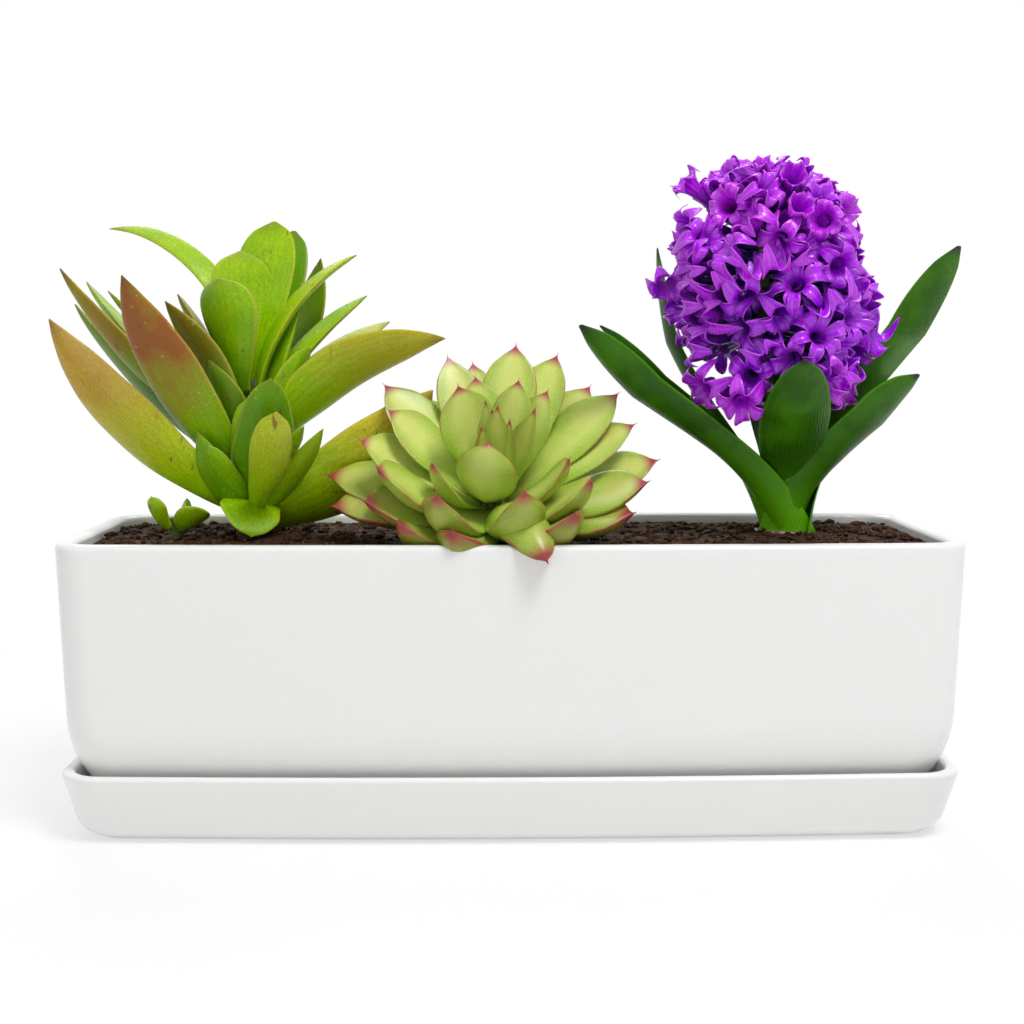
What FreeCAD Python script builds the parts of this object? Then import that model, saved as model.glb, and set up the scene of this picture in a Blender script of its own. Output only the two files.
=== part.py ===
"""White glazed trough planter on its own drip saucer, planted with two succulents and a hyacinth.

Frame: millimetres, +Z up, +X along the trough to the right, +Y to the back.
The origin is the centre of the saucer's underside, on the surface that the saucer stands on.
"""

import FreeCAD
import Part
import math
import os

Vector = FreeCAD.Vector

# Saucer: a shallow tray with flared walls, on a foot ring
saucer_length = 326.0
saucer_width = 119.0
saucer_height = 25.5
saucer_flare = 6.0
saucer_wall = 4.5
saucer_floor = 5.0
saucer_corner = 15.0
saucer_foot_round = 7.0
saucer_foot_ring = 8.0
saucer_foot_recess = 1.5
saucer_lip = 1.4

# Trough: nearly upright walls that turn in to a narrower base
pot_length = 326.0
pot_width = 115.0
pot_height = 103.0
pot_wall = 6.0
pot_floor = 6.0
pot_corner = 14.0
pot_base_corner = 20.0
pot_turn_height = 40.0
pot_turn_radius = 52.0
pot_lip = 1.8
pot_foot_ring = 6.0
pot_foot_recess = 1.5
wall_taper = 1.8
front_bow = 4.0

# Drain holes and the plastic mesh laid over each one
drain_radius = 5.0
drain_spacing = 88.0
mesh_side = 20.0
mesh_thickness = 0.8
mesh_gap = 5.0
mesh_bar = 2.0
mesh_clearance = 0.1

# Potting soil, with a low heap round each plant
soil_clearance = 0.3
soil_below_rim = 3.0
heap_height = 2.4
heap_radius = 34.0
heap_top_radius = 17.0
soil_outline_steps = (4, 1, 4, 6, 4, 1, 4, 6)

# Fan succulent at the left: a short stem with long fleshy leaves
fan_height = 120.0
fan_stem_radius = 4.6
fan_stem_tip_radius = 3.4
fan_stem_below = 24.0
fan_offset_radius = 2.6
fan_offset_above = 8.0
fan_offset_below = 9.0
fan_leaf_width = 25.0
fan_leaf_thickness = 6.5

# Rosette succulent in the middle: it leans out over the front rim
rosette_reach = 62.0
rosette_stem_radius = 7.0
rosette_stem_tip_radius = 5.2
rosette_stem_above = 26.0
rosette_stem_below = 20.0
rosette_tilt = 35.0
rosette_leaf_width = 24.0
rosette_leaf_thickness = 5.6
rosette_heart_count = 12
rosette_heart_reach = 36.0

# Hyacinth at the right: a bulb, strap leaves and a flower spike
bulb_radius = 19.0
bulb_height = 42.0
bulb_neck_radius = 11.0
scape_length = 134.0
scape_radius = 5.0
scape_tip_radius = 2.2
scape_lean = 5.5
strap_height = 112.0
strap_width = 18.0
strap_thickness = 3.6
strap_ring_radius = 8.0
spike_radius = 39.0
spike_height = 98.0
spike_middle = 94.0
floret_count = 45
floret_lobe = 10.0
floret_tube_radius = 1.0
floret_throat_radius = 2.9
floret_throat_depth = 9.0
floret_recurve = 4.0
floret_gap = 0.1

# Stems and heaps have this many sides
stem_sides = 10

# Cuts run past the faces that they open by this much
overrun = 5.0

# The plants' places along and across the trough
fan_place_shares = (-0.306, 0.0)
rosette_place_shares = (-0.022, -0.102)
hyacinth_place_shares = (0.324, 0.0)

# Turn-in of the trough's wall: shares of the arc where its stations lie
turn_shares = (1.0, 0.76, 0.52, 0.27, 0.0)
soil_turn_shares = (1.0, 0.52, 0.0)

# Bulb: how far down its stations lie and how wide they are
bulb_shares = ((1.0, 0.3), (0.82, 0.84), (0.56, 1.0), (0.24, 0.76))

# How far up the fan its stem reaches, and the part of a turn between leaves of a spiral
fan_stem_share = 0.5
golden_share = 0.382

# Heart of the rosette: lean, reach, width and thickness of its first leaf, and their growth
heart_start_share = 0.56
heart_lean_shares = (0.033, 0.245)
heart_reach_shares = (0.62, 0.38)
heart_width_shares = (0.36, 0.4)
heart_depth_shares = (0.5, 0.3)
heart_bend = -8.0

# Section of a leaf, cup of each kind, and where leaves sit on their stems
keel_shares = (-0.5, 0.5)
scale_keel_shares = (0.0,)
crown_share = 0.5
leaf_cup_share = 0.12
scale_cup_share = 0.18
strap_cup_share = 0.30
stem_seat_share = 0.8
seat_drop_share = 1.1
notch_share = 1.35
egg_share = 0.08
young_share = 0.22
spike_base_share = 0.8
spike_seat_share = 0.76

# Heights of the faces that the rest is stacked on
pot_base = saucer_floor
rim = pot_base + pot_height
floor_top = pot_base + pot_floor
soil_top = rim - soil_below_rim
heap_top = soil_top + heap_height

# Leaf outlines: how far along the midrib each station lies, then its width and its thickness
lance_shares = (
    (0.0, 0.30, 0.44),
    (0.16, 0.62, 0.74),
    (0.38, 0.94, 1.0),
    (0.64, 0.92, 0.86),
    (0.86, 0.52, 0.56),
    (1.0, 0.05, 0.14),
)
paddle_shares = (
    (0.0, 0.24, 0.44),
    (0.16, 0.38, 0.74),
    (0.38, 0.70, 1.0),
    (0.64, 1.0, 0.86),
    (0.86, 0.88, 0.56),
    (1.0, 0.24, 0.14),
)
oval_shares = (
    (0.0, 0.30, 0.44),
    (0.16, 0.76, 0.74),
    (0.38, 1.0, 1.0),
    (0.64, 0.94, 0.86),
    (0.86, 0.62, 0.56),
    (1.0, 0.16, 0.14),
)
strap_shares = (
    (0.0, 0.72, 0.44),
    (0.16, 0.80, 0.74),
    (0.38, 0.92, 1.0),
    (0.64, 1.0, 0.86),
    (0.86, 0.82, 0.56),
    (1.0, 0.20, 0.14),
)
scale_shares = (
    (0.0, 0.16, 0.44),
    (0.34, 0.68, 0.94),
    (0.64, 1.0, 0.86),
    (0.86, 0.66, 0.56),
    (1.0, 0.05, 0.14),
)

# Fan leaves: outline, where the leaf leaves the stem, then where its tip lies across, in depth
# and in height (all in shares of the plant's height), bend and roll in degrees, and width share
fan_leaf_shares = {
    "crown_front": (paddle_shares, 0.455, (-0.076, -0.07, 0.81), 4, 44, 0.82),
    "crown_middle": (paddle_shares, 0.485, (-0.022, 0.03, 0.90), 6, -36, 0.76),
    "crown_back": (paddle_shares, 0.475, (0.075, 0.12, 1.0), 8, 30, 0.80),
    "crown_shade": (paddle_shares, 0.40, (0.125, 0.24, 0.98), 8, 24, 0.66),
    "inner_left": (lance_shares, 0.37, (-0.223, 0.04, 0.766), -6, 20, 0.36),
    "inner_front_left": (lance_shares, 0.30, (-0.221, -0.16, 0.738), -8, 24, 0.46),
    "arching_left": (lance_shares, 0.44, (-0.464, 0.17, 0.982), 58, -34, 0.58),
    "arching_right": (lance_shares, 0.42, (0.344, 0.02, 0.889), 44, 34, 0.54),
    "right_back": (lance_shares, 0.37, (0.213, 0.20, 0.888), 10, 36, 0.60),
    "right_slim": (lance_shares, 0.36, (0.373, 0.05, 0.762), 26, 30, 0.50),
    "right_shade": (lance_shares, 0.29, (0.436, 0.19, 0.684), 26, 34, 0.62),
    "right_large": (lance_shares, 0.24, (0.626, -0.12, 0.625), 54, -44, 0.86),
    "right_low": (lance_shares, 0.10, (0.585, -0.22, 0.463), 20, -44, 0.84),
    "front_large": (lance_shares, 0.19, (-0.315, -0.32, 0.807), -16, 30, 1.0),
    "left_large": (lance_shares, 0.09, (-0.544, -0.27, 0.681), -26, 40, 0.96),
    "left_shade": (lance_shares, 0.22, (-0.55, 0.05, 0.735), -18, 26, 0.56),
    "left_upper": (lance_shares, 0.32, (-0.54, 0.16, 0.81), -14, -34, 0.60),
    "left_back": (lance_shares, 0.27, (-0.559, -0.08, 0.84), -16, 34, 0.70),
    "left_small": (lance_shares, 0.37, (-0.447, 0.06, 0.777), -6, 24, 0.42),
    "front_blade": (oval_shares, 0.12, (0.106, -0.25, 0.503), -16, -20, 0.80),
    "front_paddle": (paddle_shares, 0.065, (0.131, -0.33, 0.406), -30, -20, 0.58),
    "front_small": (lance_shares, 0.155, (0.20, -0.22, 0.36), -10, -20, 0.38),
    "front_right_slim": (lance_shares, 0.055, (0.254, -0.18, 0.35), -12, -30, 0.42),
    "front_left_slim": (lance_shares, 0.06, (-0.129, -0.18, 0.339), -16, 30, 0.34),
    "front_oval": (oval_shares, 0.125, (0.0, -0.17, 0.03), 56, 0, 0.80),
}

# The fan's offset: where it stands beside the main stem, then its leaves in the same terms
fan_offset_place_shares = (-0.22, -0.08)
fan_offset_shares = (
    (paddle_shares, 0.035, (-0.07, -0.03, 0.135), -20, 40, 0.34),
    (oval_shares, 0.045, (0.03, 0.02, 0.125), -10, -20, 0.36),
    (oval_shares, 0.03, (0.11, -0.06, 0.09), -20, -30, 0.34),
)

# Outer rosette leaves by side: where the tip lies across, in depth and in height above the
# root (in shares of the plant's reach), bend in degrees, and shares of width
rosette_leaf_shares = {
    "back": (
        ((-0.27, 0.19, 1.10), 4, 0.74),
        ((-0.12, 0.34, 1.06), 4, 0.74),
        ((0.15, 0.22, 1.17), 4, 0.86),
        ((0.40, 0.16, 1.11), 4, 0.82),
        ((0.60, 0.16, 0.92), 6, 0.88),
        ((-0.50, 0.34, 0.86), 8, 0.80),
        ((0.24, 0.54, 0.74), 8, 0.90),
    ),
    "right": (
        ((0.76, 0.0, 0.88), 0, 0.90),
        ((0.85, -0.12, 0.70), 4, 0.86),
        ((0.98, -0.20, 0.49), 6, 1.0),
        ((0.90, -0.40, 0.38), 8, 0.92),
        ((0.81, -0.50, 0.21), 8, 0.90),
        ((0.80, 0.06, 0.30), 10, 0.92),
    ),
    "front": (
        ((0.56, -0.66, 0.42), -24, 0.92),
        ((0.46, -0.78, 0.24), -20, 0.84),
        ((0.17, -0.84, 0.37), -50, 0.92),
        ((0.30, -0.88, 0.02), 44, 0.84),
        ((-0.22, -0.80, 0.14), 10, 0.84),
        ((-0.31, -0.76, 0.34), -40, 0.92),
    ),
    "left": (
        ((-0.53, -0.66, 0.17), 16, 0.88),
        ((-0.73, -0.52, 0.28), 8, 0.94),
        ((-0.94, -0.30, 0.23), 10, 0.92),
        ((-0.98, -0.10, 0.40), 6, 0.98),
        ((-0.65, -0.60, 0.48), -4, 0.94),
        ((-0.77, -0.30, 0.62), -2, 0.94),
        ((-0.65, 0.06, 0.93), 2, 0.88),
        ((-0.61, -0.21, 0.79), 0, 0.84),
    ),
}

# Hyacinth leaves: where the tip lies across, in depth and in height (in shares of the leaves'
# height), bend and roll in degrees, and width share
hyacinth_leaf_shares = {
    "left_long": ((-0.72, -0.22, 0.71), 8, 38, 0.98),
    "left_inner": ((-0.63, 0.10, 0.70), 8, 30, 0.72),
    "back_left": ((-0.42, 0.24, 0.99), -26, 20, 0.64),
    "front_broad": ((-0.02, -0.40, 0.60), 12, 0, 1.35),
    "right_short": ((0.39, -0.22, 0.55), 20, -38, 1.10),
    "right_long": ((0.62, 0.13, 0.99), 12, 36, 1.0),
    "back_upright": ((-0.06, 0.42, 0.72), 6, 0, 0.94),
}


def outline_edges(half_length, half_width, corner, z):
    """Plan outline of the ware: bowed long sides, straight ends, round corners."""
    bow_radius = (half_length**2 + front_bow**2) / (2 * front_bow)
    centre_y = bow_radius - half_width
    corner_x = half_length - corner
    corner_y = centre_y - math.sqrt((bow_radius - corner) ** 2 - corner_x**2)
    reach = bow_radius / (bow_radius - corner)
    side = Vector(corner_x * reach, centre_y + (corner_y - centre_y) * reach, z)
    end = Vector(half_length, corner_y, z)
    middle = Vector(corner_x, corner_y, z)
    middle += (side + end - middle * 2).normalize() * corner

    def mirrored(point, x_sign, y_sign):
        return Vector(point.x * x_sign, point.y * y_sign, z)

    edges = []
    for x_sign, y_sign in ((1, 1), (1, -1), (-1, -1), (-1, 1)):
        first, last = (side, end) if x_sign == y_sign else (end, side)
        edges.append(
            Part.Arc(
                mirrored(first, x_sign, y_sign),
                mirrored(middle, x_sign, y_sign),
                mirrored(last, x_sign, y_sign),
            ).toShape()
        )
        start = mirrored(last, x_sign, y_sign)
        if x_sign == y_sign:
            edges.append(Part.LineSegment(start, mirrored(start, 1, -1)).toShape())
        else:
            crest = Vector(0, y_sign * -half_width, z)
            edges.append(Part.Arc(start, crest, mirrored(start, -1, 1)).toShape())
    return edges


def closed_solid(faces):
    """Solid inside faces that meet edge to edge."""
    shell = Part.Shell(faces)
    shell.sewShape()
    solid = Part.Solid(shell)
    return solid if solid.Volume > 0 else solid.reversed()


def flat_face(points):
    """Flat face inside a closed row of points."""
    return Part.Face(Part.makePolygon([*points, points[0]]))


def ware_solid(stations):
    """Skin through plan outlines, each (half length, half width, corner, height)."""
    outlines = [outline_edges(*station) for station in stations]
    faces = [Part.Face(Part.Wire(outlines[0])), Part.Face(Part.Wire(outlines[-1]))]
    for low, high in zip(outlines, outlines[1:]):
        for below, above in zip(low, high):
            if isinstance(below.Curve, Part.Line):
                ends = [vertex.Point for vertex in (*below.Vertexes, *reversed(above.Vertexes))]
                faces.append(flat_face(ends))
            else:
                faces.append(Part.makeRuledSurface(below, above))
    return closed_solid(faces)


def trough_stations(inset, bottom, top, shares):
    """Stations of the trough's wall, from its base up, set in by a wall or a clearance."""
    turn_top = pot_base + pot_turn_height
    turn_angle = math.asin((turn_top - bottom) / (pot_turn_radius - inset))
    stations = []
    for share in shares:
        angle = turn_angle * share
        turned_in = (pot_turn_radius - inset) * (1 - math.cos(angle))
        corner = pot_corner + (pot_base_corner - pot_corner) * share
        stations.append(
            (
                pot_length / 2 - wall_taper - turned_in - inset,
                pot_width / 2 - wall_taper - turned_in - inset,
                corner - inset / 2,
                turn_top - (pot_turn_radius - inset) * math.sin(angle),
            )
        )
    stations.append(
        (pot_length / 2 - inset, pot_width / 2 - inset, pot_corner - inset / 2, top)
    )
    return stations


def foot_recess(half_length, half_width, corner, ring, depth, z):
    """The hollow inside a foot ring, cut up into the underside."""
    edges = outline_edges(half_length - ring, half_width - ring, corner - ring / 2, z - overrun)
    return Part.Face(Part.Wire(edges)).extrude(Vector(0, 0, overrun + depth))


def make_saucer():
    """Drip saucer: flared tray with a rounded foot and lip, standing on a foot ring."""
    slope = saucer_flare / saucer_height

    def station(height, inset, z):
        pull = saucer_flare - slope * height + inset
        return (
            saucer_length / 2 - pull,
            saucer_width / 2 - pull,
            saucer_corner - inset / 2,
            z,
        )

    foot = saucer_foot_round
    turn = foot * (1 - math.sqrt(0.5))
    lip = saucer_height - saucer_lip
    outside = ware_solid(
        [
            station(0, foot, 0),
            station(turn, turn, turn),
            station(foot, 0, foot),
            station(lip, 0, lip),
            station(saucer_height, saucer_lip, saucer_height),
        ]
    )
    well = ware_solid(
        [
            station(saucer_floor, saucer_wall, saucer_floor),
            station(saucer_height, saucer_wall, saucer_height),
            station(saucer_height, saucer_wall, saucer_height + overrun),
        ]
    )
    half_length, half_width, corner, _ = station(0, foot, 0)
    recess = foot_recess(
        half_length, half_width, corner, saucer_foot_ring, saucer_foot_recess, 0
    )
    return outside.cut([well, recess])


def drain_places():
    """Centres of the drain holes, in a row along the trough."""
    return [Vector(drain_spacing * step, 0, 0) for step in (-1, 0, 1)]


def make_pot():
    """Glazed trough with a rounded lip, a foot ring and three drain holes."""
    outside = trough_stations(0, pot_base, rim - pot_lip, turn_shares)
    length, width, corner, _ = outside[-1]
    outside.append((length - pot_lip, width - pot_lip, corner - pot_lip, rim))
    inside = trough_stations(pot_wall, floor_top, rim - pot_lip, turn_shares)
    length, width, corner, _ = inside[-1]
    inside.append((length + pot_lip, width + pot_lip, corner + pot_lip, rim))
    inside.append((length + pot_lip, width + pot_lip, corner + pot_lip, rim + overrun))
    base_length, base_width, base_corner, _ = outside[0]
    cuts = [ware_solid(inside)]
    cuts.append(
        foot_recess(
            base_length, base_width, base_corner, pot_foot_ring, pot_foot_recess, pot_base
        )
    )
    for place in drain_places():
        start = place + Vector(0, 0, pot_base - overrun)
        cuts.append(Part.makeCylinder(drain_radius, pot_floor + 2 * overrun, start))
    return ware_solid(outside).cut(cuts)


def make_drain_meshes():
    """A square of open plastic mesh over each drain hole."""
    pitch = mesh_gap + mesh_bar
    gaps = int((mesh_side - mesh_bar) / pitch)
    first = -(gaps - 1) / 2 * pitch - mesh_gap / 2
    pieces = []
    for place in drain_places():
        corner = place + Vector(-mesh_side / 2, -mesh_side / 2, floor_top + mesh_clearance)
        plate = Part.makeBox(mesh_side, mesh_side, mesh_thickness, corner)
        holes = []
        for column in range(gaps):
            for row in range(gaps):
                low = place + Vector(
                    first + column * pitch, first + row * pitch, floor_top - overrun
                )
                holes.append(Part.makeBox(mesh_gap, mesh_gap, 2 * overrun, low))
        pieces.append(plate.cut(holes))
    return Part.makeCompound(pieces)


def plant_root(place_shares, depth):
    """Point on a plant's axis, that far under the soil's surface."""
    x_share, y_share = place_shares
    return Vector(x_share * pot_length, y_share * pot_width, soil_top - depth)


def ring_round(centre, axis, radius, count):
    """Points of a circle round an axis."""
    right = Vector(1, 0, 0)
    right = (right - axis * right.dot(axis)).normalize()
    back = axis.cross(right)
    points = []
    for step in range(count):
        turn = 2 * math.pi * step / count
        points.append(centre + (right * math.cos(turn) + back * math.sin(turn)) * radius)
    return points


def spiral_direction(axis, step, start_share):
    """Direction away from an axis in which the next leaf or floret of a spiral points."""
    right, _, _, back = ring_round(Vector(), axis, 1, 12)[:4]
    turn = 2 * math.pi * (golden_share * step + start_share)
    return right * math.cos(turn) + back * math.sin(turn)


def facet_solid(rings):
    """Closed solid with flat facets through rings of as many points each."""
    count = len(rings[0])
    triangles = []
    for low, high in zip(rings, rings[1:]):
        for step in range(count):
            after = (step + 1) % count
            triangles.append((low[step], low[after], high[after]))
            triangles.append((low[step], high[after], high[step]))
    for cap in (list(reversed(rings[0])), rings[-1]):
        for step in range(1, count - 1):
            triangles.append((cap[0], cap[step], cap[step + 1]))
    faces = []
    for first, second, third in triangles:
        if (second - first).cross(third - first).Length > 0:
            faces.append(flat_face((first, second, third)))
    return closed_solid(faces)


def facet_stem(foot, axis, stations):
    """Faceted stem through (height along the axis, radius) stations."""
    return facet_solid(
        [ring_round(foot + axis * along, axis, radius, stem_sides) for along, radius in stations]
    )


def make_soil(rooted):
    """Potting soil: it fills the trough, with a low heap round each plant."""
    bottom = floor_top + mesh_clearance + mesh_thickness + mesh_clearance
    stations = trough_stations(pot_wall + soil_clearance, bottom, soil_top, soil_turn_shares)
    rings = []
    for station in stations:
        ring = []
        for edge, count in zip(outline_edges(*station), soil_outline_steps):
            points = edge.discretize(count + 1)
            if edge.Orientation == "Reversed":
                points.reverse()
            ring.extend(points[:-1])
        rings.append(ring)
    fill = facet_solid(rings)
    heaps = [
        facet_stem(
            plant_root(place, overrun),
            Vector(0, 0, 1),
            ((0, heap_radius), (overrun, heap_radius), (overrun + heap_height, heap_top_radius)),
        )
        for place in (fan_place_shares, rosette_place_shares, hyacinth_place_shares)
    ]
    return fill.fuse(heaps).cut(rooted).removeSplitter()


def make_leaf(start, tip, axis, form, shares, cup, keel_places):
    """Faceted leaf on an arched midrib from start to tip.

    form is (bend, roll, width, thickness): bend is how far the midrib turns away from the
    plant's axis between its ends, in degrees. keel_places are where the points of its
    underside lie between its edges.
    """
    bend, roll, width, thickness = form
    bend = math.radians(bend)
    roll = math.radians(roll)
    chord = tip - start
    outward = chord - axis * chord.dot(axis)
    lean = math.atan2(outward.Length, chord.dot(axis)) - bend / 2
    outward.normalize()
    sideways = axis.cross(outward)
    length = chord.Length * (bend / 2 / math.sin(bend / 2) if bend else 1)
    centre = start
    before = 0.0
    rings = []
    for station, half, depth in shares:
        middle = lean + bend * (before + station) / 2
        along = axis * math.cos(middle) + outward * math.sin(middle)
        centre = centre + along * (length * (station - before))
        before = station
        angle = lean + bend * station
        upper = axis * math.sin(angle) - outward * math.cos(angle)
        side = sideways * math.cos(roll) + upper * math.sin(roll)
        face = upper * math.cos(roll) - sideways * math.sin(roll)
        wide = side * (width / 2 * half)
        deep = face * (thickness / 2 * depth)
        edge = face * (cup * width / 2 * half)
        keel = [centre + wide * place - deep for place in keel_places]
        rings.append([centre - wide + edge, *keel, centre + wide + edge, centre + deep * crown_share])
    return facet_solid(rings)


def clear_of(solid, others):
    """The solid less what its neighbours already fill, as one piece."""
    box = solid.BoundBox
    near = [other for other in others if box.intersect(other.BoundBox)]
    near = [other for other in near if solid.distToShape(other)[0] < floret_gap]
    if not near:
        return solid
    left = solid.cut(near)
    return max(left.Solids, key=lambda piece: piece.Volume)


def ground_block(place_shares):
    """What the soil's heap fills under a plant's lowest leaves."""
    root = plant_root(place_shares, 0)
    side = 2 * heap_radius + 4 * overrun
    corner = Vector(root.x - side / 2, root.y - side / 2, soil_top - side / 2)
    return Part.makeBox(side, side, side / 2 + heap_height, corner)


def seat_on_stem(point, tip, axis, radius):
    """Where a leaf that reaches for its tip sits on a stem of that radius."""
    outward = tip - point
    outward = outward - axis * outward.dot(axis)
    return point + outward.normalize() * radius


def fan_offset_root():
    """Where the fan's offset stands, on the soil beside the main stem."""
    across, deep = fan_offset_place_shares
    return plant_root(fan_place_shares, 0) + Vector(across, deep, 0) * fan_height


def make_fan_leaves(stem, offset_stem):
    """Leaves of the fan succulent and its offset, by node name."""
    up = Vector(0, 0, 1)
    taken = [stem, offset_stem, ground_block(fan_place_shares)]

    def grown(root, radius, spec):
        shares, height, place, bend, roll, width = spec
        tip = root + Vector(*place) * fan_height
        point = root + up * (fan_height * height)
        start = seat_on_stem(point, tip, up, radius * stem_seat_share)
        thickness = fan_leaf_thickness * (1 + width) / 2
        form = (bend, roll, fan_leaf_width * width, thickness)
        leaf = make_leaf(start, tip, up, form, shares, leaf_cup_share, keel_shares)
        leaf = clear_of(leaf, taken)
        taken.append(leaf)
        return leaf

    root = plant_root(fan_place_shares, 0)
    nodes = {
        "fan_leaf_" + name: grown(root, fan_stem_tip_radius, spec)
        for name, spec in fan_leaf_shares.items()
    }
    root = fan_offset_root()
    leaves = [grown(root, fan_offset_radius, spec) for spec in fan_offset_shares]
    nodes["fan_offset_leaves"] = Part.makeCompound(leaves)
    return nodes


def rosette_axis():
    """Direction in which the rosette's stem leans out over the front rim."""
    tilt = math.radians(rosette_tilt)
    return Vector(0, -math.sin(tilt), math.cos(tilt))


def make_rosette_leaves(stem):
    """Leaves of the rosette: the heart in a spiral, then the outer leaves by side."""
    axis = rosette_axis()
    root = plant_root(rosette_place_shares, 0)
    taken = [stem, ground_block(rosette_place_shares)]

    def grown(tip, bend, width, thickness):
        chord = tip - (root + axis * rosette_stem_above)
        lean = chord.getAngle(axis) / math.pi
        height = rosette_stem_above * (1 - seat_drop_share * lean)
        point = root + axis * height
        start = seat_on_stem(point, tip, axis, rosette_stem_tip_radius * stem_seat_share)
        form = (bend, 0, width, thickness)
        leaf = make_leaf(
            start, tip, axis, form, scale_shares, scale_cup_share, scale_keel_shares
        )
        leaf = clear_of(leaf, taken)
        taken.append(leaf)
        return leaf

    def growing(shares, share):
        first, growth = shares
        return first + growth * share

    heart = []
    for step in range(rosette_heart_count):
        share = (step + 1) / rosette_heart_count
        lean = math.pi * growing(heart_lean_shares, share)
        outward = spiral_direction(axis, step, heart_start_share)
        reach = rosette_heart_reach * growing(heart_reach_shares, share)
        along = axis * math.cos(lean) + outward * math.sin(lean)
        tip = root + axis * rosette_stem_above + along * reach
        size = rosette_leaf_width * growing(heart_width_shares, share)
        depth = rosette_leaf_thickness * growing(heart_depth_shares, share)
        heart.append(grown(tip, heart_bend, size, depth))
    half = rosette_heart_count // 2
    nodes = {
        "rosette_leaves_heart": Part.makeCompound(heart[:half]),
        "rosette_leaves_inner": Part.makeCompound(heart[half:]),
    }
    for side, specs in rosette_leaf_shares.items():
        group = []
        for place, bend, width in specs:
            tip = root + Vector(*place) * rosette_reach
            size = rosette_leaf_width * width
            group.append(grown(tip, bend, size, rosette_leaf_thickness * width))
        nodes["rosette_leaves_" + side] = Part.makeCompound(group)
    return nodes


def make_bulb():
    """Hyacinth bulb, buried up to its neck."""
    root = plant_root(hyacinth_place_shares, 0)
    neck = (heap_height, bulb_neck_radius)
    stations = [(-bulb_height * drop, bulb_radius * wide) for drop, wide in bulb_shares]
    return facet_stem(root, Vector(0, 0, 1), [*stations, neck])


def make_floret(root, mouth, lobe):
    """One floret: a slim tube that opens into six lobes that curl back."""
    axis = (mouth - root).normalize()
    throat = mouth - axis * floret_throat_depth
    under_lobes = [1, 1, 3, 3, 5, 5, 7, 7, 9, 9, 11, 11]
    base = ring_round(root, axis, floret_tube_radius, 12)
    neck = ring_round(throat, axis, floret_throat_radius, 12)
    notches = ring_round(mouth, axis, floret_throat_radius * notch_share, 12)
    tips = ring_round(mouth - axis * floret_recurve, axis, lobe, 12)
    star = [tips[step] if step % 2 else notches[step] for step in range(12)]
    return facet_solid(
        [
            [base[step] for step in under_lobes],
            [neck[step] for step in under_lobes],
            star,
            [throat + axis * floret_throat_radius] * 12,
        ]
    )


def scape_axis():
    """Direction in which the flower spike leans."""
    lean = math.radians(scape_lean)
    return Vector(-math.sin(lean), 0, math.cos(lean))


def make_hyacinth_leaves(bulb, scape):
    """Strap leaves of the hyacinth, by node name."""
    root = plant_root(hyacinth_place_shares, 0)
    up = Vector(0, 0, 1)
    taken = [bulb, scape, ground_block(hyacinth_place_shares)]
    nodes = {}
    for name, (place, bend, roll, width) in hyacinth_leaf_shares.items():
        tip = root + Vector(*place) * strap_height
        start = seat_on_stem(root, tip, up, strap_ring_radius)
        form = (bend, roll, strap_width * width, strap_thickness)
        leaf = make_leaf(start, tip, up, form, strap_shares, strap_cup_share, keel_shares)
        leaf = clear_of(leaf, taken)
        taken.append(leaf)
        nodes["hyacinth_leaf_" + name] = leaf
    return nodes


def make_florets(taken):
    """Tiers of florets, spread evenly over an egg-shaped spike, by node name."""
    root = plant_root(hyacinth_place_shares, 0)
    axis = scape_axis()
    florets = []
    for step in range(floret_count):
        level = 1 - (1 + spike_base_share) * (step + 0.5) / floret_count
        outward = spiral_direction(axis, step, 0)
        swell = math.sqrt(1 - level**2) * (1 - egg_share * level)
        middle = root + axis * (spike_middle + level * spike_height / 2)
        height = spike_middle + level * spike_height / 2 * spike_seat_share
        taper = (height - spike_middle / 2) / (scape_length - spike_middle / 2)
        radius = scape_radius + (scape_tip_radius - scape_radius) * taper
        floret = make_floret(
            root + axis * height + outward * radius * stem_seat_share,
            middle + outward * (spike_radius * swell),
            floret_lobe * (1 - young_share * max(0, level)),
        )
        floret = clear_of(floret, taken + florets)
        florets.append(floret)
    nodes = {}
    names = ("top", "upper", "middle", "lower", "bottom")
    for place, name in enumerate(names):
        first = place * floret_count // len(names)
        last = (place + 1) * floret_count // len(names)
        nodes["hyacinth_florets_" + name] = Part.makeCompound(florets[first:last])
    return nodes


def make_stems():
    """The pieces that stand in the soil, by node name."""
    up = Vector(0, 0, 1)
    fan_stem = facet_stem(
        plant_root(fan_place_shares, fan_stem_below),
        up,
        (
            (0, fan_stem_tip_radius),
            (fan_stem_below, fan_stem_radius),
            (fan_stem_below + fan_height * fan_stem_share, fan_stem_tip_radius),
        ),
    )
    offset_stem = facet_stem(
        fan_offset_root() - up * fan_offset_below,
        up,
        ((0, fan_offset_radius), (fan_offset_below + fan_offset_above, fan_offset_radius)),
    )
    axis = rosette_axis()
    crown = facet_stem(
        plant_root(rosette_place_shares, 0) - axis * rosette_stem_below,
        axis,
        (
            (0, rosette_stem_tip_radius),
            (rosette_stem_below, rosette_stem_radius),
            (rosette_stem_below + rosette_stem_above, rosette_stem_tip_radius),
        ),
    )
    bulb = make_bulb()
    root = plant_root(hyacinth_place_shares, 0)
    scape = facet_stem(
        root,
        scape_axis(),
        ((0, scape_radius), (spike_middle / 2, scape_radius), (scape_length, scape_tip_radius)),
    )
    return {
        "fan_stem": fan_stem,
        "fan_offset_stem": offset_stem,
        "rosette_stem": crown,
        "hyacinth_bulb": bulb,
        "hyacinth_scape": clear_of(scape, [bulb]),
    }


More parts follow.
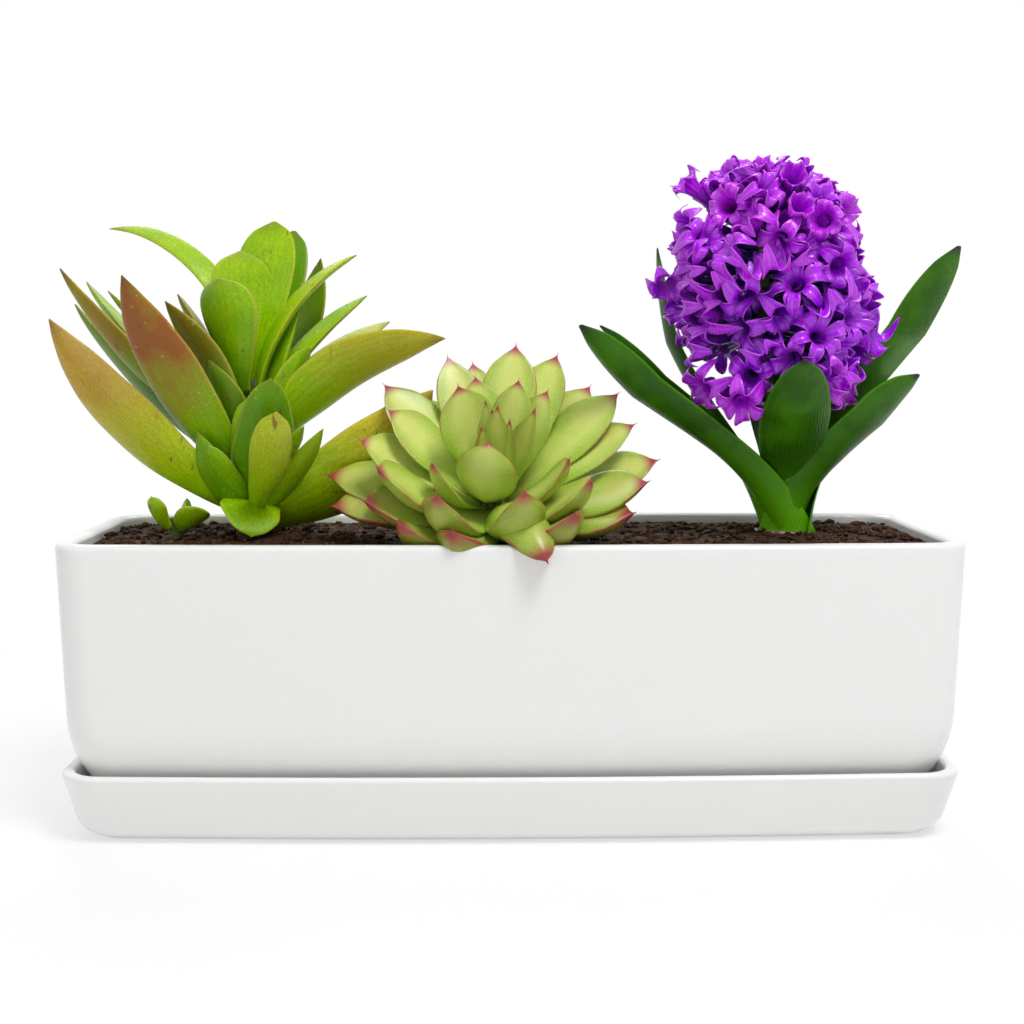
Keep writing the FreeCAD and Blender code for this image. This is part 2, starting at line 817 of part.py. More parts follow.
def main():
    """Builds every piece and writes one file for each node."""
    stems = make_stems()
    nodes = {
        "saucer": make_saucer(),
        "planter_pot": make_pot(),
        "drain_meshes": make_drain_meshes(),
        "potting_soil": make_soil(list(stems.values())),
    }
    nodes.update(stems)
    nodes.update(make_fan_leaves(stems["fan_stem"], stems["fan_offset_stem"]))
    nodes.update(make_rosette_leaves(stems["rosette_stem"]))
    leaves = make_hyacinth_leaves(stems["hyacinth_bulb"], stems["hyacinth_scape"])
    nodes.update(leaves)
    nodes.update(make_florets([stems["hyacinth_scape"], *leaves.values()]))
    os.makedirs("parts", exist_ok=True)
    for name, shape in nodes.items():
        shape.exportStep(os.path.join("parts", name + ".step"))
        print(name, "solids", len(shape.Solids), "volume", round(shape.Volume, 1))


main()
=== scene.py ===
"""Look of a white glazed trough planter on its drip saucer, planted with two succulents and a hyacinth.

Sizes are in millimetres in the part's own frame and become metres where a mesh is made.
"""

import logging
import math
import random
from dataclasses import dataclass, field
from enum import Enum
from typing import Iterable, Optional, Sequence

import bmesh
import bpy
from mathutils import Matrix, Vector, noise

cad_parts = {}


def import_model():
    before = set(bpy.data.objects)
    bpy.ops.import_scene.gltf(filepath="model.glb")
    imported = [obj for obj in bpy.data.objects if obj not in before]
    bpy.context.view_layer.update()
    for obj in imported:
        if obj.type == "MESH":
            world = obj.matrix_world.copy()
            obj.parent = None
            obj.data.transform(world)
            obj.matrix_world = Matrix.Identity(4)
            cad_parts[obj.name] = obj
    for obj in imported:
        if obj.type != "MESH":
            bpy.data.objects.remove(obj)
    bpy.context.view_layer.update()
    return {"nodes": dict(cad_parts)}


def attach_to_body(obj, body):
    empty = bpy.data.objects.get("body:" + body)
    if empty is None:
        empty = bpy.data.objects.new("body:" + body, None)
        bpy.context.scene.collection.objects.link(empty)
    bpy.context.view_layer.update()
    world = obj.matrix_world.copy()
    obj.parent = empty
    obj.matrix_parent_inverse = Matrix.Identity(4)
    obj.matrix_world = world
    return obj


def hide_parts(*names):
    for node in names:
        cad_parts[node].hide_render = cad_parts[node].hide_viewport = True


log = logging.getLogger("planter")

METRES = 0.001
UP = Vector((0.0, 0.0, 1.0))
Colour = tuple[float, float, float]
Station = tuple[float, float, float]
Spot = tuple[float, float]
Level = tuple[float, float, float, float]
Node = bpy.types.Node
Socket = bpy.types.NodeSocket
NOISE_LOW = 0.3
NOISE_HIGH = 0.7
LIGHT_DEPTH = 0.002
WHITE = (1.0, 1.0, 1.0, 1.0)
GOLDEN_TURN = 0.382
SEAT = 0.8


class Body(Enum):
    """The rigid bodies that pieces ride on."""

    SAUCER = "saucer"
    PLANTER = "planter"


class Outline(Enum):
    """Leaf outlines: how far along the midrib each station lies, then its width and thickness."""

    LANCE = (
        (0.0, 0.34, 0.50), (0.16, 0.62, 0.80), (0.38, 0.93, 1.0), (0.60, 0.95, 0.90),
        (0.80, 0.68, 0.68), (0.93, 0.30, 0.42), (1.0, 0.03, 0.12),
    )
    PADDLE = (
        (0.0, 0.26, 0.50), (0.16, 0.40, 0.78), (0.38, 0.70, 1.0), (0.62, 0.98, 0.88),
        (0.80, 0.96, 0.70), (0.93, 0.66, 0.46), (1.0, 0.10, 0.12),
    )
    OVAL = (
        (0.0, 0.32, 0.50), (0.16, 0.76, 0.78), (0.38, 1.0, 1.0), (0.62, 0.96, 0.88),
        (0.82, 0.74, 0.64), (0.94, 0.42, 0.40), (1.0, 0.05, 0.12),
    )
    STRAP = (
        (0.0, 1.12, 0.60), (0.14, 0.98, 0.80), (0.36, 0.86, 1.0), (0.58, 0.96, 0.90),
        (0.78, 0.98, 0.74), (0.92, 0.66, 0.52), (1.0, 0.12, 0.20),
    )
    TONGUE = (
        (0.0, 0.50, 0.60), (0.14, 0.54, 0.80), (0.34, 0.78, 1.0), (0.56, 1.0, 0.90),
        (0.76, 0.90, 0.74), (0.91, 0.56, 0.52), (1.0, 0.08, 0.20),
    )
    SPOON = (
        (0.0, 0.46, 0.60), (0.20, 0.80, 0.96), (0.44, 1.0, 1.0), (0.66, 0.98, 0.90),
        (0.82, 0.74, 0.68), (0.92, 0.36, 0.42), (0.965, 0.13, 0.22), (1.0, 0.02, 0.08),
    )
    BUD = (
        (0.0, 0.40, 0.60), (0.25, 0.84, 1.0), (0.48, 1.0, 1.0), (0.68, 0.84, 0.85),
        (0.82, 0.48, 0.60), (0.92, 0.20, 0.36), (1.0, 0.02, 0.10),
    )
    SCALE = (
        (0.0, 0.22, 0.50), (0.30, 0.62, 0.92), (0.52, 0.94, 1.0), (0.70, 1.02, 0.90),
        (0.84, 0.80, 0.66), (0.93, 0.40, 0.40), (0.97, 0.15, 0.22), (1.0, 0.02, 0.08),
    )


def smooth_row(rows: Sequence[Station], place: float) -> tuple[float, float]:
    """Width and thickness of an outline at a place along its midrib, on a smooth curve.

    Args:
        rows: The outline's stations.
        place: How far along the midrib, from 0 to 1.

    Returns:
        The width and the thickness, as shares of the leaf's own.
    """
    for step in range(len(rows) - 1):
        if place <= rows[step + 1][0] or step == len(rows) - 2:
            break
    before = rows[max(step - 1, 0)]
    low, high = rows[step], rows[step + 1]
    after = rows[min(step + 2, len(rows) - 1)]
    span = high[0] - low[0]
    share = kept((place - low[0]) / span)
    values = []
    for column in (1, 2):
        first = (high[column] - before[column]) / max(high[0] - before[0], 1e-6) * span
        last = (after[column] - low[column]) / max(after[0] - low[0], 1e-6) * span
        square, cube = share * share, share**3
        value = (
            (2 * cube - 3 * square + 1) * low[column]
            + (cube - 2 * square + share) * first
            + (3 * square - 2 * cube) * high[column]
            + (cube - square) * last
        )
        values.append(max(value, 0.01))
    return values[0], values[1]


def across(axis: Vector) -> tuple[Vector, Vector]:
    """Two directions square to an axis and to each other.

    Args:
        axis: A unit vector.

    Returns:
        The direction nearest to +X, and the one that follows it round the axis.
    """
    right = Vector((1.0, 0.0, 0.0))
    right = (right - axis * right.dot(axis)).normalized()
    return right, axis.cross(right)


def kept(value: float, low: float = 0.0, high: float = 1.0) -> float:
    """A number kept between two others."""
    return min(max(value, low), high)


def towards(first: Vector, second: Vector, angle: float) -> Vector:
    """The direction at an angle in radians from the first towards the second."""
    return first * math.cos(angle) + second * math.sin(angle)


def add_object(name: str, data: bpy.types.ID) -> bpy.types.Object:
    """A new object in the scene.

    Args:
        name: Its name.
        data: Its mesh, camera or lamp.

    Returns:
        The object.
    """
    made = bpy.data.objects.new(name, data)
    bpy.context.scene.collection.objects.link(made)
    return made


@dataclass
class Draft:
    """Vertices, faces and marks of one piece while it is shaped, in millimetres.

    Each vertex carries two marks that its finish reads: grain (across from -1 to 1, along from
    0 to 1, and 1 on the upper face, which on a floret holds instead how far out of the spike it lies,
    for painted shade) and tone (blush, warmth, which below zero is painted shade, and a number of its own).
    """

    name: str
    points: list[Vector] = field(default_factory=list)
    faces: list[tuple[int, ...]] = field(default_factory=list)
    grain: list[tuple[float, float, float]] = field(default_factory=list)
    tone: list[tuple[float, float, float]] = field(default_factory=list)

    def ring(self, points: Iterable[Vector], grain: Iterable[tuple], tone: tuple) -> list[int]:
        """Adds a row of vertices.

        Args:
            points: Their places.
            grain: The grain mark of each.
            tone: The tone mark that they share.

        Returns:
            Their numbers.
        """
        first = len(self.points)
        self.points.extend(points)
        self.grain.extend(grain)
        self.tone.extend([tone] * (len(self.points) - first))
        return list(range(first, len(self.points)))

    def skin(self, rings: Sequence[Sequence[int]]) -> None:
        """Faces between closed rings of as many vertices each.

        Args:
            rings: The rings in order.
        """
        for low, high in zip(rings, rings[1:]):
            count = len(low)
            for step in range(count):
                after = (step + 1) % count
                self.faces.append((low[step], low[after], high[after], high[step]))

    def cap(self, ring: Sequence[int], turned: bool = False) -> None:
        """One face over the end of a closed row of rings."""
        self.faces.append(tuple(reversed(ring)) if turned else tuple(ring))

    def shell(self, rings: Sequence[Sequence[int]]) -> None:
        """A skin with both of its ends capped.

        Args:
            rings: The rings in order.
        """
        self.skin(rings)
        self.cap(rings[0], turned=True)
        self.cap(rings[-1])

    def build(self, material: bpy.types.Material, body: Body, slot: str, *nodes: str) -> bpy.types.Object:
        """Makes the object, gives it its finish and lets it stand for its nodes.

        Args:
            material: Its finish.
            body: The body that it rides on.
            slot: The name of a material slot; not used.
            nodes: The nodes of the frame that it replaces.

        Returns:
            The new object.
        """
        mesh = bpy.data.meshes.new(self.name)
        mesh.from_pydata([point * METRES for point in self.points], [], self.faces)
        for label, values in (("grain", self.grain), ("tone", self.tone)):
            layer = mesh.attributes.new(label, "FLOAT_VECTOR", "POINT")
            layer.data.foreach_set("vector", [number for value in values for number in value])
        mesh.polygons.foreach_set("use_smooth", [True] * len(mesh.polygons))
        mesh.validate()
        piece = add_object(self.name, mesh)
        make_normals_outward(mesh)
        mesh.materials.append(material)
        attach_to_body(piece, body.value)
        if nodes:
            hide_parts(*nodes)
        log.info("%s: %d faces", self.name, len(mesh.polygons))
        return piece


def make_normals_outward(mesh: bpy.types.Mesh) -> None:
    """Turns every face of a mesh to the outside.

    Args:
        mesh: The mesh.
    """
    work = bmesh.new()
    work.from_mesh(mesh)
    bmesh.ops.recalc_face_normals(work, faces=work.faces)
    work.to_mesh(mesh)
    work.free()


class Shading:
    """The nodes of one material or group, with short ways to add and join them.

    Attributes:
        shader: The surface shader, where it is a material.
    """

    shader: Node

    def __init__(self, tree: bpy.types.NodeTree) -> None:
        """Starts on an empty tree."""
        self.tree = tree
        tree.nodes.clear()

    def add(self, kind: str, **values: object) -> Node:
        """A new node of a type, named without the ShaderNode in front, with its values."""
        return self.set_up(self.tree.nodes.new("ShaderNode" + kind), **values)

    def set_up(self, node: Node, **values: object) -> Node:
        """Gives a node its values.

        Args:
            node: The node.
            values: Its own properties, in small letters, and its inputs, capitalised and with _ for a space.

        Returns:
            The node.
        """
        for label, value in values.items():
            if label[0].isupper():
                self.feed(node.inputs[label.replace("_", " ")], value)
            else:
                setattr(node, label, value)
        return node

    def feed(self, socket: Socket, value: object) -> None:
        """Joins an output to a socket, or sets the socket's own value.

        Args:
            socket: The socket.
            value: An output, a number, or a colour with or without its alpha.
        """
        if isinstance(value, Socket):
            self.tree.links.new(value, socket)
            return
        plain = socket.default_value
        if hasattr(plain, "__len__") and len(plain) == 4 and len(value) == 3:
            value = (*value, 1.0)
        socket.default_value = value

    def fill(self, node: Node, *values: object) -> Socket:
        """Feeds a node's inputs in their order.

        Args:
            node: The node.
            values: A value or an output for each.

        Returns:
            The node's first output.
        """
        for socket, value in zip(node.inputs, values):
            self.feed(socket, value)
        return node.outputs[0]

    def math(self, operation: str, *values: object, clamp: bool = False) -> Socket:
        """The result of a Math node, kept from 0 to 1 where it is clamped."""
        return self.fill(self.add("Math", operation=operation, use_clamp=clamp), *values)

    def times(self, first: object, second: object, clamp: bool = False) -> Socket:
        """The product of two values."""
        return self.math("MULTIPLY", first, second, clamp=clamp)

    def line(self, value: object, slope: object, start: object, clamp: bool = False) -> Socket:
        """A value times a slope, plus a start."""
        return self.math("MULTIPLY_ADD", value, slope, start, clamp=clamp)

    def span(self, value: object, low: object, high: object, to_low: float = 0.0,
             to_high: float = 1.0) -> Socket:
        """A value eased from one range, low to high, to another."""
        node = self.add("MapRange", interpolation_type="SMOOTHSTEP")
        return self.fill(node, value, low, high, to_low, to_high)

    def mix(self, share: object, first: object, second: object) -> Socket:
        """Two colours mixed by a share.

        Args:
            share: How much of the second.
            first: The first colour.
            second: The second colour.

        Returns:
            The mixed colour.
        """
        node = self.add("Mix", data_type="RGBA", clamp_factor=True)
        for place, value in ((0, share), (6, first), (7, second)):
            self.feed(node.inputs[place], value)
        return node.outputs[2]

    def coats(self, colour: object, *layers: tuple[object, object]) -> Socket:
        """A colour with others laid over it in turn.

        Args:
            colour: The colour below.
            layers: A share and a colour for each of the others.

        Returns:
            The colour on top.
        """
        for share, over in layers:
            colour = self.mix(share, colour, over)
        return colour

    def join(self, share: object, first: Node, second: Node) -> Socket:
        """Two shaders mixed by a share."""
        return self.fill(self.add("MixShader"), share, first.outputs[0], second.outputs[0])

    def noise(self, where: object, scale: object, detail: float, rough: float = 0.5,
              stretch: Optional[tuple] = None) -> Socket:
        """The value of a noise texture.

        Args:
            where: The place that it is read at.
            scale: Its features per metre.
            detail: How many finer layers it has.
            rough: How strong those layers are.
            stretch: Scale along each axis, for noise in one direction.

        Returns:
            The value, from 0 to 1.
        """
        if stretch:
            where = self.add("Mapping", Vector=where, Scale=stretch).outputs[0]
        node = self.add("TexNoise", Vector=where, Scale=scale, Detail=detail, Roughness=rough)
        return node.outputs["Fac"]

    def cells(self, where: object, scale: object) -> Node:
        """A Voronoi pattern, in cells per metre."""
        return self.add("TexVoronoi", Vector=where, Scale=scale)

    def parts(self, vector: object) -> list[Socket]:
        """The three numbers of a vector."""
        return list(self.add("SeparateXYZ", Vector=vector).outputs)

    def mark(self, label: str) -> list[Socket]:
        """The three numbers of a mark that the mesh carries."""
        return self.parts(self.add("Attribute", attribute_name=label).outputs["Vector"])

    def place(self) -> Socket:
        """The place on the object, in metres."""
        return self.add("TexCoord").outputs["Object"]

    def seen(self) -> Socket:
        """1 for rays from the camera, and for those that are mirrored or let through, or else 0.

        Returns:
            That number.
        """
        rays = self.add("LightPath").outputs
        shown = self.math("MAXIMUM", rays["Is Camera Ray"], rays["Is Glossy Ray"])
        return self.math("MAXIMUM", shown, rays["Is Transmission Ray"])


class Effect:
    """A shared effect: a node group with named inputs, None for a place, and outputs, built once."""

    name = "effect"
    inputs: dict[str, Optional[float]] = {}
    outputs: tuple[str, ...] = ()

    def tree(self) -> bpy.types.NodeTree:
        """The group's tree, made the first time that it is asked for.

        Returns:
            The tree.
        """
        found = bpy.data.node_groups.get(self.name)
        if found:
            return found
        group = bpy.data.node_groups.new(self.name, "ShaderNodeTree")
        for label, value in self.inputs.items():
            kind = "NodeSocketVector" if value is None else "NodeSocketFloat"
            socket = group.interface.new_socket(label, in_out="INPUT", socket_type=kind)
            if value is not None:
                socket.default_value = value
        for label in self.outputs:
            group.interface.new_socket(label, in_out="OUTPUT", socket_type="NodeSocketFloat")
        sheet = Shading(group)
        entry = group.nodes.new("NodeGroupInput")
        leave = group.nodes.new("NodeGroupOutput")
        self.draw(sheet, entry.outputs, leave.inputs)
        return group

    def draw(self, sheet: Shading, entry: object, leave: object) -> None:
        """Adds the group's nodes between its entry and its way out; each effect has its own."""
        raise NotImplementedError

    def use(self, sheet: Shading, **values: object) -> list[Socket]:
        """The group's outputs where it is placed in a material, in the order that the effect names them."""
        node = sheet.add("Group", node_tree=self.tree(), **values)
        return [node.outputs[label] for label in self.outputs]


class Mottle(Effect):
    """Soft patches and fine grain, for anything that grew or was fired."""

    name = "mottle"
    inputs = {"Place": None, "Patch Size": 60.0, "Grain Size": 900.0, "Seed": 0.0}
    outputs = ("Patches", "Grain")

    def draw(self, sheet: Shading, entry: object, leave: object) -> None:
        """Two sizes of noise round the same place.

        Args:
            sheet: The group's nodes.
            entry: Its inputs.
            leave: Its outputs.
        """
        where = sheet.fill(sheet.add("VectorMath", operation="ADD"), entry["Place"], entry["Seed"])
        for label, size, detail in (("Patches", "Patch Size", 3.0), ("Grain", "Grain Size", 2.0)):
            sheet.feed(leave[label], sheet.noise(where, entry[size], detail))


class Specks(Effect):
    """Sparse small spots of uneven size, such as pinholes in a glaze or marks on a leaf."""

    name = "specks"
    inputs = {"Place": None, "Spacing": 60.0, "Size": 0.12, "Share": 0.3}
    outputs = ("Mask",)

    def draw(self, sheet: Shading, entry: object, leave: object) -> None:
        """Keeps the middle of some cells of a Voronoi pattern.

        Args:
            sheet: The group's nodes.
            entry: Its inputs.
            leave: Its outputs.
        """
        cells = sheet.cells(entry["Place"], entry["Spacing"]).outputs
        own = sheet.add("SeparateColor", Color=cells["Color"]).outputs
        chosen = sheet.math("LESS_THAN", own[0], entry["Share"])
        size = sheet.times(entry["Size"], sheet.math("ADD", 0.4, own[1]))
        near = sheet.math("DIVIDE", cells["Distance"], size)
        sheet.feed(leave["Mask"], sheet.times(chosen, sheet.span(near, 1.0, 0.4)))


class Margin(Effect):
    """Masks for a leaf's edges, its tip, its base and its midrib."""

    name = "margin"
    inputs = {"Across": 0.0, "Along": 0.0, "Edge": 0.8, "Tip": 0.85}
    outputs = ("Edges", "Tips", "Bases", "Midrib")

    def draw(self, sheet: Shading, entry: object, leave: object) -> None:
        """Each mask is an eased step of one coordinate of the leaf.

        Args:
            sheet: The group's nodes.
            entry: Its inputs.
            leave: Its outputs.
        """
        wide = sheet.math("ABSOLUTE", entry["Across"])
        sheet.feed(leave["Edges"], sheet.span(wide, entry["Edge"], 1.02))
        sheet.feed(leave["Tips"], sheet.span(entry["Along"], entry["Tip"], 1.0))
        sheet.feed(leave["Bases"], sheet.span(entry["Along"], 0.32, 0.0))
        sheet.feed(leave["Midrib"], sheet.span(wide, 0.22, 0.0))


class Veins(Effect):
    """Fine parallel veins that run the length of a leaf or petal."""

    name = "veins"
    inputs = {"Across": 0.0, "Along": 0.0, "Count": 14.0, "Wander": 0.4}
    outputs = ("Lines",)

    def draw(self, sheet: Shading, entry: object, leave: object) -> None:
        """A sine across the leaf, moved a little by noise along it.

        Args:
            sheet: The group's nodes.
            entry: Its inputs.
            leave: Its outputs.
        """
        wide, along = sheet.times(entry["Across"], 2.0), sheet.times(entry["Along"], 5.0)
        spot = sheet.add("CombineXYZ", X=wide, Y=along).outputs[0]
        drift = sheet.times(sheet.noise(spot, 3.0, 2.0), entry["Wander"])
        turn = sheet.times(sheet.math("ADD", entry["Across"], drift), entry["Count"])
        wave = sheet.math("SINE", sheet.times(turn, 3.14159))
        sheet.feed(leave["Lines"], sheet.line(wave, 0.5, 0.5))


class Canvas:
    """What a leaf or a petal is painted on: its place, its marks and the shared effects over them."""

    def __init__(self, sheet: Shading, patches: float, grains: float) -> None:
        """Reads the marks, and lays soft patches and a fine grain over the surface.

        Args:
            sheet: The material's nodes.
            patches: Patches per metre.
            grains: Grains per metre.
        """
        self.sheet = sheet
        self.place = sheet.place()
        self.wide, self.along, self.upper = sheet.mark("grain")
        self.blush, self.warmth_and_shade, own = sheet.mark("tone")
        self.patches, self.grain = Mottle().use(
            sheet, Place=self.place, Patch_Size=patches, Grain_Size=grains, Seed=own,
        )

    def margins(self, edge: float, tip: object) -> list[Socket]:
        """Masks of the edges, the tip, the base and the midrib."""
        return Margin().use(self.sheet, Across=self.wide, Along=self.along, Edge=edge, Tip=tip)

    def veins(self, count: float, wander: float) -> Socket:
        """Veins along the leaf."""
        return Veins().use(self.sheet, Across=self.wide, Along=self.along, Count=count, Wander=wander)[0]

    def spots(self, spacing: float, size: float, share: float) -> Socket:
        """Sparse spots."""
        return Specks().use(self.sheet, Place=self.place, Spacing=spacing, Size=size, Share=share)[0]


@dataclass(frozen=True)
class Finish:
    """What every finish has: a name, a roughness and the strength of its bumps."""

    name: str
    roughness: float = 0.5
    bump: float = 0.2
    depth: float = 0.0003

    def material(self) -> bpy.types.Material:
        """The finish as a material, built once.

        Returns:
            The material.
        """
        found = bpy.data.materials.get(self.name)
        if found:
            return found
        made = bpy.data.materials.new(self.name)
        made.use_nodes = True
        sheet = Shading(made.node_tree)
        sheet.shader = sheet.add("BsdfPrincipled", Roughness=self.roughness)
        sheet.add("OutputMaterial", Surface=sheet.shader.outputs[0])
        self.dress(sheet)
        return made

    def dress(self, sheet: Shading) -> None:
        """Adds the finish's own nodes."""
        raise NotImplementedError

    def uneven(self, sheet: Shading, grain: object, less: float, more: float) -> Socket:
        """The finish's roughness, from somewhat less to somewhat more of it by the grain."""
        return sheet.span(grain, NOISE_LOW, NOISE_HIGH, self.roughness - less, self.roughness + more)

    def apply(self, sheet: Shading, colour: object, rough: object, height: object, **plain: object) -> None:
        """Gives the shader its colour and roughness, bumps from a height, and its plain values."""
        bump = sheet.add("Bump", Strength=self.bump, Distance=self.depth, Height=height).outputs[0]
        sheet.set_up(sheet.shader, Base_Color=colour, Roughness=rough, Normal=bump, **plain)


@dataclass(frozen=True)
class WhiteGlaze(Finish):
    """White glaze: soft gloss, faint unevenness, rare pinholes, and bare clay under the foot."""

    body: Colour = (0.770, 0.770, 0.780)
    shade: Colour = (0.740, 0.740, 0.750)
    speck: Colour = (0.42, 0.41, 0.40)
    clay: Colour = (0.66, 0.60, 0.52)

    def dress(self, sheet: Shading) -> None:
        """Colour from patches and pinholes, gloss from a coat, and slow waves of the surface.

        Args:
            sheet: The material's nodes.
        """
        place = sheet.place()
        patches, grain = Mottle().use(sheet, Place=place, Patch_Size=18.0, Grain_Size=500.0)
        holes = Specks().use(sheet, Place=place, Spacing=42.0, Size=0.028, Share=0.16)[0]
        upward = sheet.parts(sheet.add("NewGeometry").outputs["Normal"])[2]
        under = sheet.span(upward, -0.90, -0.97)
        colour = sheet.coats(
            self.body,
            (sheet.span(patches, 0.35, 0.75), self.shade),
            (holes, self.speck),
            (under, self.clay),
        )
        fine = self.uneven(sheet, grain, 0.03, 0.05)
        rough = sheet.math("MAXIMUM", fine, sheet.times(under, 0.8))
        dent = sheet.line(holes, -0.25, sheet.noise(place, 26.0, 1.0))
        self.apply(sheet, colour, rough, dent, Coat_Weight=0.35, Coat_Roughness=0.10)


@dataclass(frozen=True)
class DampSoil(Finish):
    """Dark potting soil with lighter fibres, bark and a few pale grains."""

    dark: Colour = (0.016, 0.006, 0.003)
    brown: Colour = (0.105, 0.046, 0.020)
    light: Colour = (0.27, 0.16, 0.085)

    def dress(self, sheet: Shading) -> None:
        """Colour by clod, then by grain, with painted shade in the gaps between the clods.

        Args:
            sheet: The material's nodes.
        """
        place = sheet.place()
        own = sheet.mark("tone")[2]
        patches, grain = Mottle().use(sheet, Place=place, Patch_Size=160.0, Grain_Size=1600.0, Seed=own)
        clods = sheet.cells(place, 420.0).outputs["Distance"]
        colour = sheet.coats(
            self.dark,
            (sheet.span(grain, 0.34, 0.72), self.brown),
            (sheet.span(patches, 0.52, 0.80), self.light),
            (sheet.times(own, 0.42), self.brown),
            # Painted shade: the gaps between clods, which also sink in height, are darkened towards the dark
            # colour.
            (sheet.span(clods, 0.45, 0.75, 0.0, 0.7), self.dark),
        )
        rough = sheet.span(patches, 0.2, 0.8, 0.72, 0.96)
        height = sheet.math("SUBTRACT", grain, sheet.times(clods, 0.9))
        self.apply(sheet, colour, rough, height, Specular_IOR_Level=0.18)


@dataclass(frozen=True)
class FanSkin(Finish):
    """Smooth fleshy leaf: lime green, warm towards the tip, with red-brown blush and dry marks."""

    # deep: dark green of the veins and grain, and the painted shade at the bases and over shaded leaves.
    deep: Colour = (0.040, 0.125, 0.0)
    green: Colour = (0.190, 0.450, 0.0)
    lime: Colour = (0.54, 0.82, 0.0)
    ochre: Colour = (0.85, 0.42, 0.060)
    blush: Colour = (0.31, 0.095, 0.020)
    straw: Colour = (0.80, 0.70, 0.30)
    margin: Colour = (0.60, 0.44, 0.070)
    mark: Colour = (0.20, 0.075, 0.020)

    def dress(self, sheet: Shading) -> None:
        """Colour along and across the leaf by its marks, with painted shade at the bases and over leaves
        whose warmth is below zero, then spots, scratches and a light edge.

        Args:
            sheet: The material's nodes.
        """
        leaf = Canvas(sheet, patches=55.0, grains=1400.0)
        edges, tips, bases, _ = leaf.margins(edge=0.90, tip=0.90)
        veins = leaf.veins(count=9.0, wander=0.5)
        soft = sheet.span(leaf.patches, NOISE_LOW, NOISE_HIGH)
        ripe = sheet.math("SUBTRACT", leaf.warmth_and_shade, 0.25, clamp=True)
        ripe = sheet.times(ripe, sheet.span(leaf.along, 0.25, 0.85))
        fibres = sheet.times(veins, sheet.span(leaf.wide, -0.2, 0.8))
        outer = sheet.span(leaf.along, 0.40, 0.80, 0.0, 1.5)
        rise = sheet.math("ADD", sheet.span(leaf.along, 0.18, 0.78), sheet.times(soft, 0.5))
        red = sheet.times(sheet.math("SUBTRACT", rise, 0.28, clamp=True), leaf.blush, clamp=True)
        scratch = sheet.noise(leaf.place, 420.0, 2.0, 0.6, stretch=(1.0, 1.0, 0.16))
        scratch = sheet.times(sheet.span(scratch, 0.62, 0.70), sheet.span(leaf.patches, 0.50, 0.62))
        colour = sheet.coats(
            self.green,
            (sheet.line(soft, 0.35, leaf.warmth_and_shade), self.lime),
            # Painted shade: a leaf whose warmth is below zero is mixed towards deep green, as if it stood in
            # shadow.
            (sheet.times(leaf.warmth_and_shade, -1.0, clamp=True), self.deep),
            (sheet.times(ripe, 1.5, clamp=True), self.ochre),
            # Painted shade: deep green at each leaf's base, less on warmer leaves.
            (sheet.times(bases, sheet.line(leaf.warmth_and_shade, -0.45, 0.45, clamp=True)), self.deep),
            (sheet.times(sheet.times(ripe, fibres), outer, clamp=True), self.straw),
            (sheet.times(veins, 0.16), self.deep),
            (red, self.blush),
            (sheet.times(tips, sheet.line(leaf.blush, 0.6, 0.35)), self.mark),
            (sheet.times(edges, 0.62), self.margin),
            (sheet.times(leaf.spots(spacing=150.0, size=0.16, share=0.16), 0.6), self.mark),
            (sheet.times(leaf.spots(spacing=420.0, size=0.26, share=0.34), 0.28), self.straw),
            (sheet.span(leaf.grain, 0.42, 0.70, 0.0, 0.24), self.deep),
            (sheet.times(scratch, 0.75), self.mark),
        )
        self.apply(
            sheet, colour, self.uneven(sheet, leaf.grain, 0.05, 0.08),
            sheet.line(veins, 0.35, leaf.grain), Specular_IOR_Level=0.24, Subsurface_Weight=0.08,
            Subsurface_Radius=(0.5, 1.0, 0.15), Subsurface_Scale=LIGHT_DEPTH,
        )


